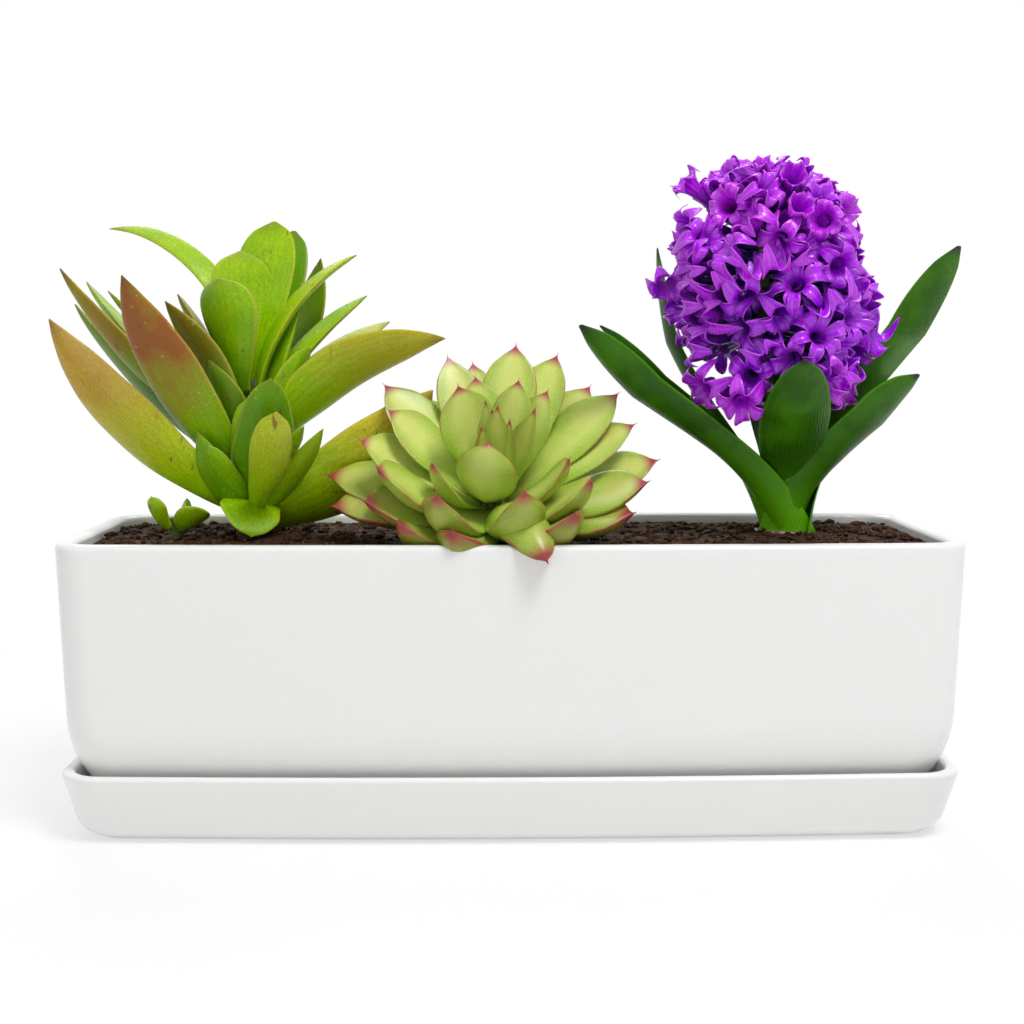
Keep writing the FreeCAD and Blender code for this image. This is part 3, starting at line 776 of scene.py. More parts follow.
@dataclass(frozen=True)
class RosetteSkin(Finish):
    """Thick waxy leaf: pale lime with a bloom, olive below, and magenta edge and tip."""

    bloom: Colour = (0.86, 0.88, 0.50)
    pale: Colour = (0.70, 0.80, 0.17)
    lime: Colour = (0.30, 0.52, 0.004)
    olive: Colour = (0.17, 0.225, 0.004)
    rose: Colour = (0.46, 0.045, 0.070)
    maroon: Colour = (0.23, 0.032, 0.018)

    def dress(self, sheet: Shading) -> None:
        """Pale middle, greener margin, rose edge and tip that grow with the leaf's blush.

        Args:
            sheet: The material's nodes.
        """
        leaf = Canvas(sheet, patches=90.0, grains=1800.0)
        edges, tips, bases, _ = leaf.margins(edge=0.90, tip=sheet.line(leaf.blush, -0.12, 0.935))
        soft = sheet.span(leaf.patches, NOISE_LOW, NOISE_HIGH)
        rim = sheet.span(sheet.math("ABSOLUTE", leaf.wide), 0.20, 0.92, 0.0, 0.80)
        bloom = sheet.times(leaf.veins(count=11.0, wander=0.8), sheet.span(leaf.grain, 0.40, 0.65, 0.0, 0.34))
        pale = sheet.times(leaf.upper, sheet.line(leaf.blush, -0.85, 1.20, clamp=True))
        dull = sheet.line(leaf.blush, 0.9, 0.10, clamp=True)
        below = sheet.times(sheet.math("SUBTRACT", 1.0, pale), dull)
        flush = sheet.times(leaf.blush, sheet.line(soft, 1.4, 0.2))
        flush = sheet.times(sheet.span(leaf.along, 0.45, 1.0), flush)
        outer = sheet.times(edges, sheet.span(leaf.along, 0.30, 0.85))
        share = sheet.math("ADD", sheet.line(leaf.blush, 0.8, -0.12), soft)
        ripe = sheet.mix(leaf.blush, self.rose, self.maroon)
        colour = sheet.coats(
            self.lime,
            (sheet.line(soft, 0.4, leaf.warmth_and_shade, clamp=True), self.pale),
            (rim, self.lime),
            (bloom, self.bloom),
            (below, self.olive),
            (sheet.times(bases, 0.75), self.olive),
            (sheet.times(flush, 0.45), self.maroon),
            (sheet.times(outer, share, clamp=True), ripe),
            (sheet.times(tips, 1.25, clamp=True), ripe),
        )
        self.apply(
            sheet, colour, self.uneven(sheet, leaf.grain, 0.05, 0.10), leaf.grain,
            Coat_Weight=0.18, Coat_Roughness=0.16, Specular_IOR_Level=0.42, Subsurface_Weight=0.12,
            Subsurface_Radius=(0.8, 1.0, 0.25), Subsurface_Scale=LIGHT_DEPTH,
        )


@dataclass(frozen=True)
class StrapSkin(Finish):
    """Glossy strap leaf: deep green with fine veins, yellow-green at the base and a dark tip."""

    deep: Colour = (0.017, 0.086, 0.001)
    green: Colour = (0.052, 0.190, 0.003)
    fresh: Colour = (0.150, 0.520, 0.0)
    tip: Colour = (0.020, 0.030, 0.020)

    def dress(self, sheet: Shading) -> None:
        """Veins in colour and relief, fresh base and edges, dark hooded tip.

        Args:
            sheet: The material's nodes.
        """
        leaf = Canvas(sheet, patches=70.0, grains=1500.0)
        edges, tips, _, _ = leaf.margins(edge=0.88, tip=0.955)
        veins = leaf.veins(count=22.0, wander=0.10)
        colour = sheet.coats(
            self.deep,
            (sheet.times(veins, 0.36), self.green),
            (sheet.span(leaf.patches, 0.38, 0.66, 0.0, 0.80), self.green),
            (sheet.times(sheet.span(leaf.along, 0.46, 0.02), 0.85), self.fresh),
            (sheet.times(edges, 0.30), self.fresh),
            (tips, self.tip),
        )
        rough = self.uneven(sheet, leaf.grain, 0.06, 0.08)
        self.apply(sheet, colour, rough, veins, Specular_IOR_Level=0.20)


@dataclass(frozen=True)
class PetalSkin(Finish):
    """Satin petal: violet with a lighter midrib and edge, partly their own colour and partly a painted
    highlight, magenta tips, and painted shade in the throat and deep inside the spike.
    """

    # deep: the painted shade of the throat and of the spike's inside, and the colour of the veins.
    deep: Colour = (0.035, 0.002, 0.21)
    violet: Colour = (0.44, 0.002, 0.90)
    # lilac: lighter edges and midrib, partly the petal's own colour and partly a painted highlight; also laid
    # in soft patches.
    lilac: Colour = (0.90, 0.20, 1.0)
    magenta: Colour = (0.70, 0.002, 0.78)

    def dress(self, sheet: Shading) -> None:
        """Colour from the throat to the tip, and a shine like satin.

        Args:
            sheet: The material's nodes.
        """
        petal = Canvas(sheet, patches=120.0, grains=2400.0)
        edges, _, _, midrib = petal.margins(edge=0.72, tip=0.80)
        veins = petal.veins(count=5.0, wander=0.2)
        colour = sheet.coats(
            self.deep,
            # Painted shade in the throat: deep violet there, turning to violet along the petal.
            (sheet.span(petal.along, 0.05, 0.62), self.violet),
            (sheet.times(petal.warmth_and_shade, 0.75), self.magenta),
            (sheet.span(petal.patches, 0.40, 0.75, 0.0, 0.22), self.lilac),
            # Lilac edges and midrib: partly the petal's own lighter colour, partly a painted highlight.
            (sheet.times(edges, 0.46), self.lilac),
            (sheet.times(midrib, sheet.span(petal.along, 0.35, 0.8, 0.0, 0.35)), self.lilac),
            (sheet.times(veins, 0.18), self.deep),
            # Painted shade: the upper mark holds how far out of the spike a point lies, and points deep
            # inside turn deep violet.
            (sheet.span(petal.upper, 0.0, 1.0, 0.92, 0.0), self.deep),
        )
        self.apply(
            sheet, colour, self.uneven(sheet, petal.grain, 0.06, 0.08), veins,
            Specular_IOR_Level=0.55, Subsurface_Weight=0.10, Subsurface_Radius=(0.7, 0.2, 1.0),
            Subsurface_Scale=LIGHT_DEPTH,
        )


@dataclass(frozen=True)
class StemSkin(Finish):
    """A stem or a bulb: two colours in streaks along it, with ridges."""

    dark: Colour = (0.10, 0.06, 0.02)
    light: Colour = (0.26, 0.20, 0.07)
    streaks: float = 14.0

    def dress(self, sheet: Shading) -> None:
        """Streaks in colour and relief.

        Args:
            sheet: The material's nodes.
        """
        wide, along, _ = sheet.mark("grain")
        patches, grain = Mottle().use(sheet, Place=sheet.place(), Patch_Size=140.0, Grain_Size=1500.0)
        veins = Veins().use(sheet, Across=wide, Along=along, Count=self.streaks, Wander=0.3)[0]
        colour = sheet.coats(
            self.dark,
            (sheet.span(sheet.times(veins, patches), 0.1, 0.5), self.light),
            (sheet.span(grain, 0.4, 0.7, 0.0, 0.4), self.dark),
        )
        self.apply(sheet, colour, self.uneven(sheet, grain, 0.08, 0.1), veins)


@dataclass(frozen=True)
class MeshPlastic(Finish):
    """Matte moulded plastic of the drain meshes, dulled by soil."""

    plastic: Colour = (0.030, 0.034, 0.030)
    dirt: Colour = (0.11, 0.065, 0.035)

    def dress(self, sheet: Shading) -> None:
        """Patches of dirt over a fine moulded grain.

        Args:
            sheet: The material's nodes.
        """
        patches, grain = Mottle().use(sheet, Place=sheet.place(), Patch_Size=220.0, Grain_Size=2600.0)
        dirt = sheet.span(patches, 0.45, 0.7, 0.0, 0.8)
        colour = sheet.mix(dirt, self.plastic, self.dirt)
        self.apply(sheet, colour, sheet.line(dirt, 0.4, 0.45), grain)


@dataclass(frozen=True)
class StudioFloor(Finish):
    """Pale floor that keeps the shadow near the object and runs out to white."""

    paper: Colour = (0.93, 0.93, 0.93)
    shade: Colour = (0.91, 0.91, 0.91)
    near: float = 0.16
    reach: float = 0.42

    def dress(self, sheet: Shading) -> None:
        """A pale diffuse floor under plain white for what the camera and reflections see far off.

        Args:
            sheet: The material's nodes.
        """
        place = sheet.place()
        colour = sheet.mix(sheet.noise(place, 40.0, 2.0), self.paper, self.shade)
        sheet.set_up(sheet.shader, Base_Color=colour, Specular_IOR_Level=0.1)
        white = sheet.add("Emission", Color=WHITE)
        away = sheet.add("VectorMath", operation="LENGTH", Vector=place)
        far = sheet.span(away.outputs["Value"], self.near, self.reach, 0.62, 1.0)
        leave = next(node for node in sheet.tree.nodes if node.type == "OUTPUT_MATERIAL")
        join = sheet.join(sheet.times(sheet.seen(), far), sheet.shader, white)
        sheet.feed(leave.inputs["Surface"], join)


GLAZE = WhiteGlaze("white_glaze", roughness=0.20, bump=0.25, depth=0.0006)
SOIL = DampSoil("damp_soil", roughness=0.9, bump=0.9, depth=0.0012)
FAN = FanSkin("fan_leaf_skin", roughness=0.36, bump=0.25, depth=0.0002)
ROSETTE = RosetteSkin("rosette_leaf_skin", roughness=0.36, bump=0.18, depth=0.0001)
STRAP = StrapSkin("strap_leaf_skin", roughness=0.34, bump=0.30, depth=0.0002)
PETAL = PetalSkin("petal_skin", roughness=0.26, bump=0.35, depth=0.0001)
BARK = StemSkin("fleshy_stem", roughness=0.7, bump=0.6, depth=0.0005,
                dark=(0.035, 0.055, 0.006), light=(0.15, 0.19, 0.020))
STALK = StemSkin("flower_stalk", roughness=0.42, bump=0.2, depth=0.0002,
                 dark=(0.030, 0.115, 0.006), light=(0.10, 0.24, 0.02))
TUNIC = StemSkin("bulb_tunic", roughness=0.55, bump=0.5, depth=0.0003,
                 dark=(0.20, 0.07, 0.12), light=(0.50, 0.33, 0.34))
MESH = MeshPlastic("mesh_plastic", roughness=0.6, bump=0.2, depth=0.0001)
FLOOR = StudioFloor("studio_floor", roughness=0.9)


@dataclass
class Ware:
    """Plan outline shared by the trough and its saucer: bowed sides, straight ends, round corners."""

    wall: float = 5.0
    lip: float = 2.0
    front_bow: float = 4.0
    corner_steps: int = 12
    side_steps: int = 22
    end_steps: int = 8

    def ring(self, half_length: float, half_width: float, corner: float, height: float) -> list[Vector]:
        """Points of the outline at one height.

        Args:
            half_length: Half of its length.
            half_width: Half of its width at the crest of the bow.
            corner: Radius of its corners.
            height: Its height.

        Returns:
            The points, once round.
        """
        bow = (half_length**2 + self.front_bow**2) / (2 * self.front_bow)
        centre = half_width - bow
        corner_x = half_length - corner
        corner_y = centre + math.sqrt((bow - corner) ** 2 - corner_x**2)
        lean = math.atan2(corner_x, corner_y - centre)
        quarter = []
        for step in range(self.end_steps // 2 + 1):
            quarter.append((half_length, corner_y * step / (self.end_steps // 2)))
        for step in range(1, self.corner_steps):
            angle = (math.pi / 2 - lean) * step / self.corner_steps
            quarter.append((corner_x + corner * math.cos(angle), corner_y + corner * math.sin(angle)))
        for step in range(self.side_steps // 2 + 1):
            angle = lean * (1 - step / (self.side_steps // 2))
            quarter.append((bow * math.sin(angle), centre + bow * math.cos(angle)))
        points = [Vector((x, y, height)) for x, y in quarter]
        points += [Vector((-x, y, height)) for x, y in reversed(quarter[:-1])]
        points += [Vector((-x, -y, height)) for x, y in quarter[1:]]
        points += [Vector((x, -y, height)) for x, y in reversed(quarter[1:-1])]
        return points

    def over_lip(self, top: float, steps: int) -> list[Spot]:
        """The rounded lip, from the outside of the wall to its inside.

        Args:
            top: Its height.
            steps: Points on each half.

        Returns:
            The inset and height of each point.
        """
        middle = (self.wall / 2, top)
        points = round_edge((0.0, top - self.lip), middle, (0.0, top), steps)
        points += round_edge(middle, (self.wall, top - self.lip), (self.wall, top), steps)[1:]
        return points

    def lathe(self, draft: Draft, stations: Sequence[Level]) -> None:
        """Skins a row of outlines into a closed shell.

        Args:
            draft: The piece.
            stations: Half length, half width, corner and height of each outline.
        """
        rings = []
        for number, station in enumerate(stations):
            points = self.ring(*station)
            marks = [(0.0, number / len(stations), 1.0)] * len(points)
            rings.append(draft.ring(points, marks, (0.0, 0.0, 0.0)))
        draft.shell(rings)


def round_edge(start: Spot, end: Spot, bulge: Spot, steps: int = 5) -> list[Spot]:
    """Points on a rounded corner of a wall's section.

    Args:
        start: Inset and height where it begins.
        end: Inset and height where it ends.
        bulge: The sharp corner that it rounds off.
        steps: How many points.

    Returns:
        The inset and height of each point.
    """
    points = []
    corner = Vector(bulge)
    for step in range(steps + 1):
        share = step / steps
        point = Vector(start).lerp(corner, share).lerp(corner.lerp(Vector(end), share), share)
        points.append((point.x, point.y))
    return points


@dataclass
class DripSaucer(Ware):
    """The tray under the trough: flared wall, rounded foot and lip, recessed underside."""

    length: float = 326.0
    width: float = 119.0
    height: float = 25.5
    flare: float = 6.0
    wall: float = 4.5
    floor: float = 5.0
    corner: float = 15.0
    least_corner: float = 3.0
    foot_round: float = 7.0
    foot_ring: float = 8.0
    recess: float = 1.5
    cove: float = 2.4
    middle: float = 30.0
    lip: float = 1.8
    outer_heights: tuple[float, ...] = (12.0, 18.0)
    inner_heights: tuple[float, ...] = (18.0, 11.0)

    def build(self) -> None:
        """Makes the saucer."""
        profile = self.outside_profile() + self.inside_profile()
        stations = [self.station(inset, height) for inset, height in profile]
        draft = Draft("drip_saucer")
        self.lathe(draft, stations)
        draft.build(GLAZE.material(), Body.SAUCER, "white_glaze", "saucer")

    def station(self, inset: float, height: float) -> Level:
        """Outline at a height, set in from the flared outside.

        Args:
            inset: How far it is set in.
            height: Its height.

        Returns:
            Half length, half width, corner and height.
        """
        pull = self.flare * (1 - height / self.height) + inset
        corner = max(self.corner - inset / 2, self.least_corner)
        return self.length / 2 - pull, self.width / 2 - pull, corner, height

    def outside_profile(self) -> list[Spot]:
        """Inset and height from the middle of the underside up to the lip.

        Returns:
            The inset and height of each point.
        """
        ring = self.foot_round + self.foot_ring
        points = [(ring + self.middle, self.recess), (ring + 1.5, self.recess)]
        points += round_edge((ring + 0.4, self.recess), (ring - 1.2, 0.0), (ring, 0.2), 3)
        points += round_edge((self.foot_round, 0.0), (0.0, self.foot_round), (0.9, 0.9), 8)
        points += [(0.0, height) for height in self.outer_heights]
        return points

    def inside_profile(self) -> list[Spot]:
        """Inset and height from the lip down to the middle of the tray's floor.

        Returns:
            The inset and height of each point.
        """
        wall, floor = self.wall, self.floor
        points = self.over_lip(self.height, 5)
        points += [(wall, height) for height in self.inner_heights]
        points += round_edge((wall, floor + self.cove), (wall + self.cove, floor), (wall, floor))
        points += [(wall + 8.0, floor), (wall + self.middle, floor)]
        return points


@dataclass
class Trough(Ware):
    """The planter: nearly upright walls that turn in to a narrower base, with three drain holes."""

    length: float = 326.0
    width: float = 115.0
    base: float = 5.0
    rim: float = 108.0
    wall: float = 6.0
    floor: float = 6.0
    corner: float = 14.0
    base_corner: float = 20.0
    turn_height: float = 40.0
    turn_radius: float = 52.0
    taper: float = 1.8
    lip: float = 2.2
    foot_ring: float = 6.0
    recess: float = 1.5
    middle_corner: float = 8.0
    turn_steps: int = 14
    outer_heights: tuple[float, ...] = (54.0, 66.0, 78.0, 90.0, 100.0, 104.0)
    inner_heights: tuple[float, ...] = (100.0, 80.0, 60.0, 45.0, 36.0, 28.0, 20.0, 14.0)
    drain_radius: float = 5.0
    drain_spacing: float = 88.0
    drill_length: float = 20.0

    def build(self) -> None:
        """Makes the trough and cuts its drain holes."""
        draft = Draft("glazed_trough")
        self.lathe(draft, self.outside() + self.inside())
        piece = draft.build(GLAZE.material(), Body.PLANTER, "white_glaze", "planter_pot")
        self.cut_drains(piece)

    def wall_station(self, inset: float, height: float) -> Level:
        """Outline of the wall at a height, set in from its outside.

        Args:
            inset: How far it is set in.
            height: Its height.

        Returns:
            Half length, half width, corner and height.
        """
        turn_top = self.base + self.turn_height
        if height >= turn_top:
            pull = self.taper * (1 - (height - turn_top) / (self.rim - turn_top))
            share = 0.0
        else:
            radius = self.turn_radius - inset
            angle = math.asin(min((turn_top - height) / radius, 0.98))
            pull = self.taper + radius * (1 - math.cos(angle))
            share = min(angle / math.asin(self.turn_height / self.turn_radius), 1.0)
        corner = self.corner + (self.base_corner - self.corner) * share - inset / 2
        return self.length / 2 - pull - inset, self.width / 2 - pull - inset, corner, height

    def outside(self) -> list[Level]:
        """Outlines from the middle of the underside up to the lip.

        Returns:
            Half length, half width, corner and height of each.
        """
        length, width, corner, _ = self.wall_station(0.0, self.base)
        under = self.base + self.recess
        ring = self.foot_ring
        stations = [(length - 20.0, width - 20.0, self.middle_corner, under)]
        foot = ((ring + 1.4, under), (ring + 0.4, under - 0.3), (ring - 0.3, self.base + 0.3),
                (ring - 1.2, self.base), (1.2, self.base))
        for inset, height in foot:
            stations.append((length - inset, width - inset, corner - inset / 2, height))
        heights = [self.base + 0.5]
        for step in range(1, self.turn_steps + 1):
            heights.append(self.base + self.turn_height * step / self.turn_steps)
        stations += [self.wall_station(0.0, height) for height in (*heights, *self.outer_heights)]
        return stations

    def inside(self) -> list[Level]:
        """Outlines over the rounded lip and down to the middle of the floor.

        Returns:
            Half length, half width, corner and height of each.
        """
        low = self.base + self.floor
        stations = [self.wall_station(inset, height) for inset, height in self.over_lip(self.rim, 6)]
        stations += [self.wall_station(self.wall, height) for height in (*self.inner_heights, low + 0.8)]
        length, width, corner, _ = self.wall_station(self.wall, low)
        stations.append((length - 1.2, width - 1.2, corner, low))
        stations.append((length - 18.0, width - 18.0, self.middle_corner, low))
        return stations

    def cut_drains(self, piece: bpy.types.Object) -> None:
        """Cuts the drain holes through the floor.

        Args:
            piece: The trough.
        """
        middle = (self.base + self.floor / 2) * METRES
        for step in (-1, 0, 1):
            bpy.ops.mesh.primitive_cylinder_add(
                vertices=40, radius=self.drain_radius * METRES, depth=self.drill_length * METRES,
                location=(step * self.drain_spacing * METRES, 0.0, middle),
            )
            drill = bpy.context.object
            cut = piece.modifiers.new("drain", "BOOLEAN")
            cut.operation = "DIFFERENCE"
            cut.solver = "EXACT"
            cut.object = drill
            bpy.context.view_layer.objects.active = piece
            bpy.ops.object.modifier_apply(modifier=cut.name)
            bpy.data.objects.remove(drill)


@dataclass
class SoilBed:
    """Potting soil: an uneven surface with clods, crumbs, fibres and bark, heaped round each plant."""

    trough: Trough
    top: float = 105.0
    bottom: float = 12.1
    clearance: float = 0.3
    heaps: tuple[tuple[float, float], ...] = ((-99.8, 0.0), (-7.2, -11.7), (105.6, 0.0))
    heap: float = 2.2
    heap_reach: float = 34.0
    heap_slope: float = 17.0
    lumps: tuple[tuple[float, float], ...] = ((0.10, 0.8), (0.33, 0.7), (0.9, 0.45))
    sink: float = 0.6
    levels: tuple[float, ...] = (20.0, 30.0, 45.0, 70.0, 95.0)
    edge_drop: float = 1.2
    surface_rings: int = 34
    crumbs: int = 2600
    chip_every: int = 23
    chip: tuple[float, float, float] = (3.2, 0.45, 0.95)
    fibre_every: int = 37
    fibre: tuple[float, float, float] = (11.0, 0.8, 0.28)
    seed: int = 7

    def surface(self, x: float, y: float) -> float:
        """Height of the soil at a place.

        Args:
            x: The place along the trough.
            y: The place across it.

        Returns:
            The height.
        """
        lift = 0.0
        for heap_x, heap_y in self.heaps:
            away = math.hypot(x - heap_x, y - heap_y)
            lift = max(lift, self.heap * kept((self.heap_reach - away) / self.heap_slope))
        spot = Vector((x, y, 3.0))
        return self.top - self.sink + lift + sum(noise.noise(spot * size) * high for size, high in self.lumps)

    def build(self) -> None:
        """Makes the bed and what lies on it as one piece."""
        draft = Draft("potting_soil_bed")
        inset = self.trough.wall + self.clearance
        edge = self.top - self.edge_drop
        rings = []
        for height in (self.bottom, *self.levels, edge):
            outer = self.trough.ring(*self.trough.wall_station(inset, height))
            rings.append(self.row(draft, outer, 0.3))
        for step in range(1, self.surface_rings):
            share = 1 - step / self.surface_rings
            points = [Vector((p.x * share, p.y * share, 0.0)) for p in outer]
            for point in points:
                point.z = self.surface(point.x, point.y)
            rings.append(self.row(draft, points, 0.35))
        draft.shell(rings)
        self.scatter(draft, inset)
        draft.build(SOIL.material(), Body.PLANTER, "soil", "potting_soil")

    def row(self, draft: Draft, points: list[Vector], own: float) -> list[int]:
        """A ring of the bed with its marks."""
        return draft.ring(points, [(0.0, 0.5, 1.0)] * len(points), (0.0, 0.0, own))

    def scatter(self, draft: Draft, inset: float) -> None:
        """Lays crumbs, bark chips and fibres on the surface.

        Args:
            draft: The piece.
            inset: How far the bed is set in from the trough's outside.
        """
        chance = random.Random(self.seed)
        half_length, half_width, _, _ = self.trough.wall_station(inset, self.top)
        for number in range(self.crumbs):
            x = chance.uniform(-1, 1) * (half_length - 2.0)
            y = chance.uniform(-1, 1) * (half_width - 4.5)
            size = 0.45 + 1.5 * chance.random() ** 3
            flat = chance.uniform(0.5, 1.0)
            long = chance.uniform(1.0, 1.7)
            if number % self.chip_every == 0:
                long, flat, size = self.chip
            if number % self.fibre_every == 0:
                long, flat, size = self.fibre
            centre = Vector((x, y, self.surface(x, y) + size * 0.25))
            self.crumb(draft, centre, size, long, flat, chance)

    def crumb(self, draft: Draft, centre: Vector, size: float, long: float, flat: float,
              chance: random.Random) -> None:
        """One uneven crumb.

        Args:
            draft: The piece.
            centre: Where it lies.
            size: Its radius.
            long: How much longer it is than wide.
            flat: How much lower it is than wide.
            chance: The source of its unevenness.
        """
        turn = chance.uniform(0, math.tau)
        ahead = Vector((math.cos(turn), math.sin(turn), chance.uniform(-0.2, 0.3))).normalized()
        side, rise = across(ahead)
        own = (0.0, 0.0, chance.random())
        rings = []
        for place, wide in ((-0.8, 0.55), (0.0, 1.0), (0.8, 0.6)):
            points = []
            for step in range(6):
                angle = math.tau * step / 6 + chance.uniform(-0.3, 0.3)
                reach = size * wide * chance.uniform(0.7, 1.2)
                offset = side * math.cos(angle) * reach + rise * math.sin(angle) * reach
                offset.z *= flat
                points.append(centre + ahead * (place * size * long) + offset)
            rings.append(draft.ring(points, [(0.0, 0.5, 1.0)] * 6, own))
        draft.shell(rings)


@dataclass
class Blade:
    """One fleshy leaf on an arched midrib.

    Attributes:
        start: Where it leaves its stem.
        tip: Where it ends.
        axis: The plant's own axis.
        bend: How far its midrib turns away from the axis, in degrees.
        roll: How far it turns about its midrib, in degrees.
        width: Its greatest width.
        thickness: Its greatest thickness.
        outline: The shape of its sides.
        cup: How far its edges rise, as a share of its half width.
        tone: Blush, warmth, which below zero is painted shade, and a number of its own, for its finish.
        keel: How sharp the ridge below is, from 0 to 1.
        point: Length of the fine point at its tip.
        wave: How far its sides wander, as a share of its width.
        rise: How much steeper it stands at its base, in degrees.
        clasp: How far its base wraps round the stem, added to the cup.
        steps: Stations along it.
        sides: Vertices round it.
        crowding: How its stations crowd towards the tip.
        squareness: How its vertices crowd towards the edges.
        fullness: How round its section is.
    """

    start: Vector
    tip: Vector
    axis: Vector
    bend: float
    roll: float
    width: float
    thickness: float
    outline: Outline
    cup: float
    tone: tuple[float, float, float]
    keel: float = 0.4
    point: float = 0.0
    wave: float = 0.03
    rise: float = 0.0
    clasp: float = 0.0
    steps: int = 34
    sides: int = 22
    crowding: float = 1.45
    squareness: float = 0.86
    fullness: float = 0.6

    def grow(self, draft: Draft) -> None:
        """Adds the leaf to a piece.

        Args:
            draft: The piece.
        """
        bend = math.radians(self.bend)
        roll = math.radians(self.roll)
        chord = self.tip - self.start
        outward = chord - self.axis * chord.dot(self.axis)
        lean = math.atan2(outward.length, chord.dot(self.axis)) - bend / 2
        outward.normalize()
        sideways = self.axis.cross(outward)
        length = chord.length * (bend / 2 / math.sin(bend / 2) if abs(bend) > 1e-6 else 1.0)
        own = self.tone[2] * 40.0
        rise = math.radians(self.rise)
        places = [1 - (1 - step / self.steps) ** self.crowding for step in range(self.steps + 1)]
        angles = [lean + bend * place - rise * max(1 - place / 0.55, 0.0) ** 1.5 for place in places]
        path = [self.start.copy()]
        for step in range(self.steps):
            middle = (angles[step] + angles[step + 1]) / 2
            along = towards(self.axis, outward, middle)
            path.append(path[-1] + along * (length * (places[step + 1] - places[step])))
        missed = self.tip - path[-1]
        rings = []
        for place, angle, centre in zip(places, angles, path):
            centre = centre + missed * min(place / 0.7, 1.0)
            upper = towards(-outward, self.axis, angle)
            turn = roll + noise.noise(Vector((own, place * 1.6, 0.0))) * 0.10 * min(place * 3, 1.0)
            side = towards(sideways, upper, turn)
            face = towards(upper, -sideways, turn)
            wide, deep = smooth_row(self.outline.value, place)
            half = self.width / 2 * wide
            thick = self.thickness / 2 * deep
            ripple = noise.noise(Vector((own + 9.0, place * 4.0, 0.0))) * self.wave * self.width
            rings.append(self.section(draft, centre + side * ripple, side * half, face, half, thick, place))
        draft.skin(rings)
        draft.cap(rings[0], turned=True)
        direction = towards(self.axis, outward, lean + bend).normalized()
        end = draft.ring([centre + direction * self.point], [(0.0, 1.0, 1.0)], self.tone)[0]
        last = rings[-1]
        for step in range(self.sides):
            draft.faces.append((last[step], last[(step + 1) % self.sides], end))

    def section(self, draft: Draft, centre: Vector, side: Vector, face: Vector, half: float,
                thick: float, place: float) -> list[int]:
        """One ring of the leaf: a shallow channel above, a rounded keel below.

        Args:
            draft: The piece.
            centre: The place on the midrib.
            side: From there to the edge.
            face: The direction of the upper face.
            half: Half of the width there.
            thick: Half of the thickness there.
            place: How far along the midrib it is, from 0 to 1.

        Returns:
            The ring's vertex numbers.
        """
        points = []
        marks = []
        for step in range(self.sides):
            angle = math.tau * step / self.sides
            wide = math.cos(angle)
            wide = math.copysign(abs(wide) ** self.squareness, wide)
            edge = (self.cup + self.clasp * max(1 - place / 0.45, 0.0)) * half * wide * wide
            full = max(1 - wide * wide, 0.0) ** self.fullness
            if math.sin(angle) >= 0:
                height = edge + 0.5 * thick * full
            else:
                height = edge - thick * (full * (1 - self.keel) + (1 - abs(wide)) * self.keel)
            points.append(centre + side * wide + face * height)
            marks.append((wide, place, 1.0 if math.sin(angle) > -0.01 else 0.0))
        return draft.ring(points, marks, self.tone)


LANCE, PADDLE, OVAL = Outline.LANCE, Outline.PADDLE, Outline.OVAL


@dataclass(frozen=True)
class FanLeaf:
    """One leaf of the fan succulent, in shares of the plant's height, and how it is coloured."""

    outline: Outline
    attach: float
    tip: tuple[float, float, float]
    bend: float
    roll: float
    width: float
    blush: float = 0.1
    # Warmth below zero gives the leaf painted shade: deep green, as if it stood in shadow.
    warmth_and_shade: float = 0.2


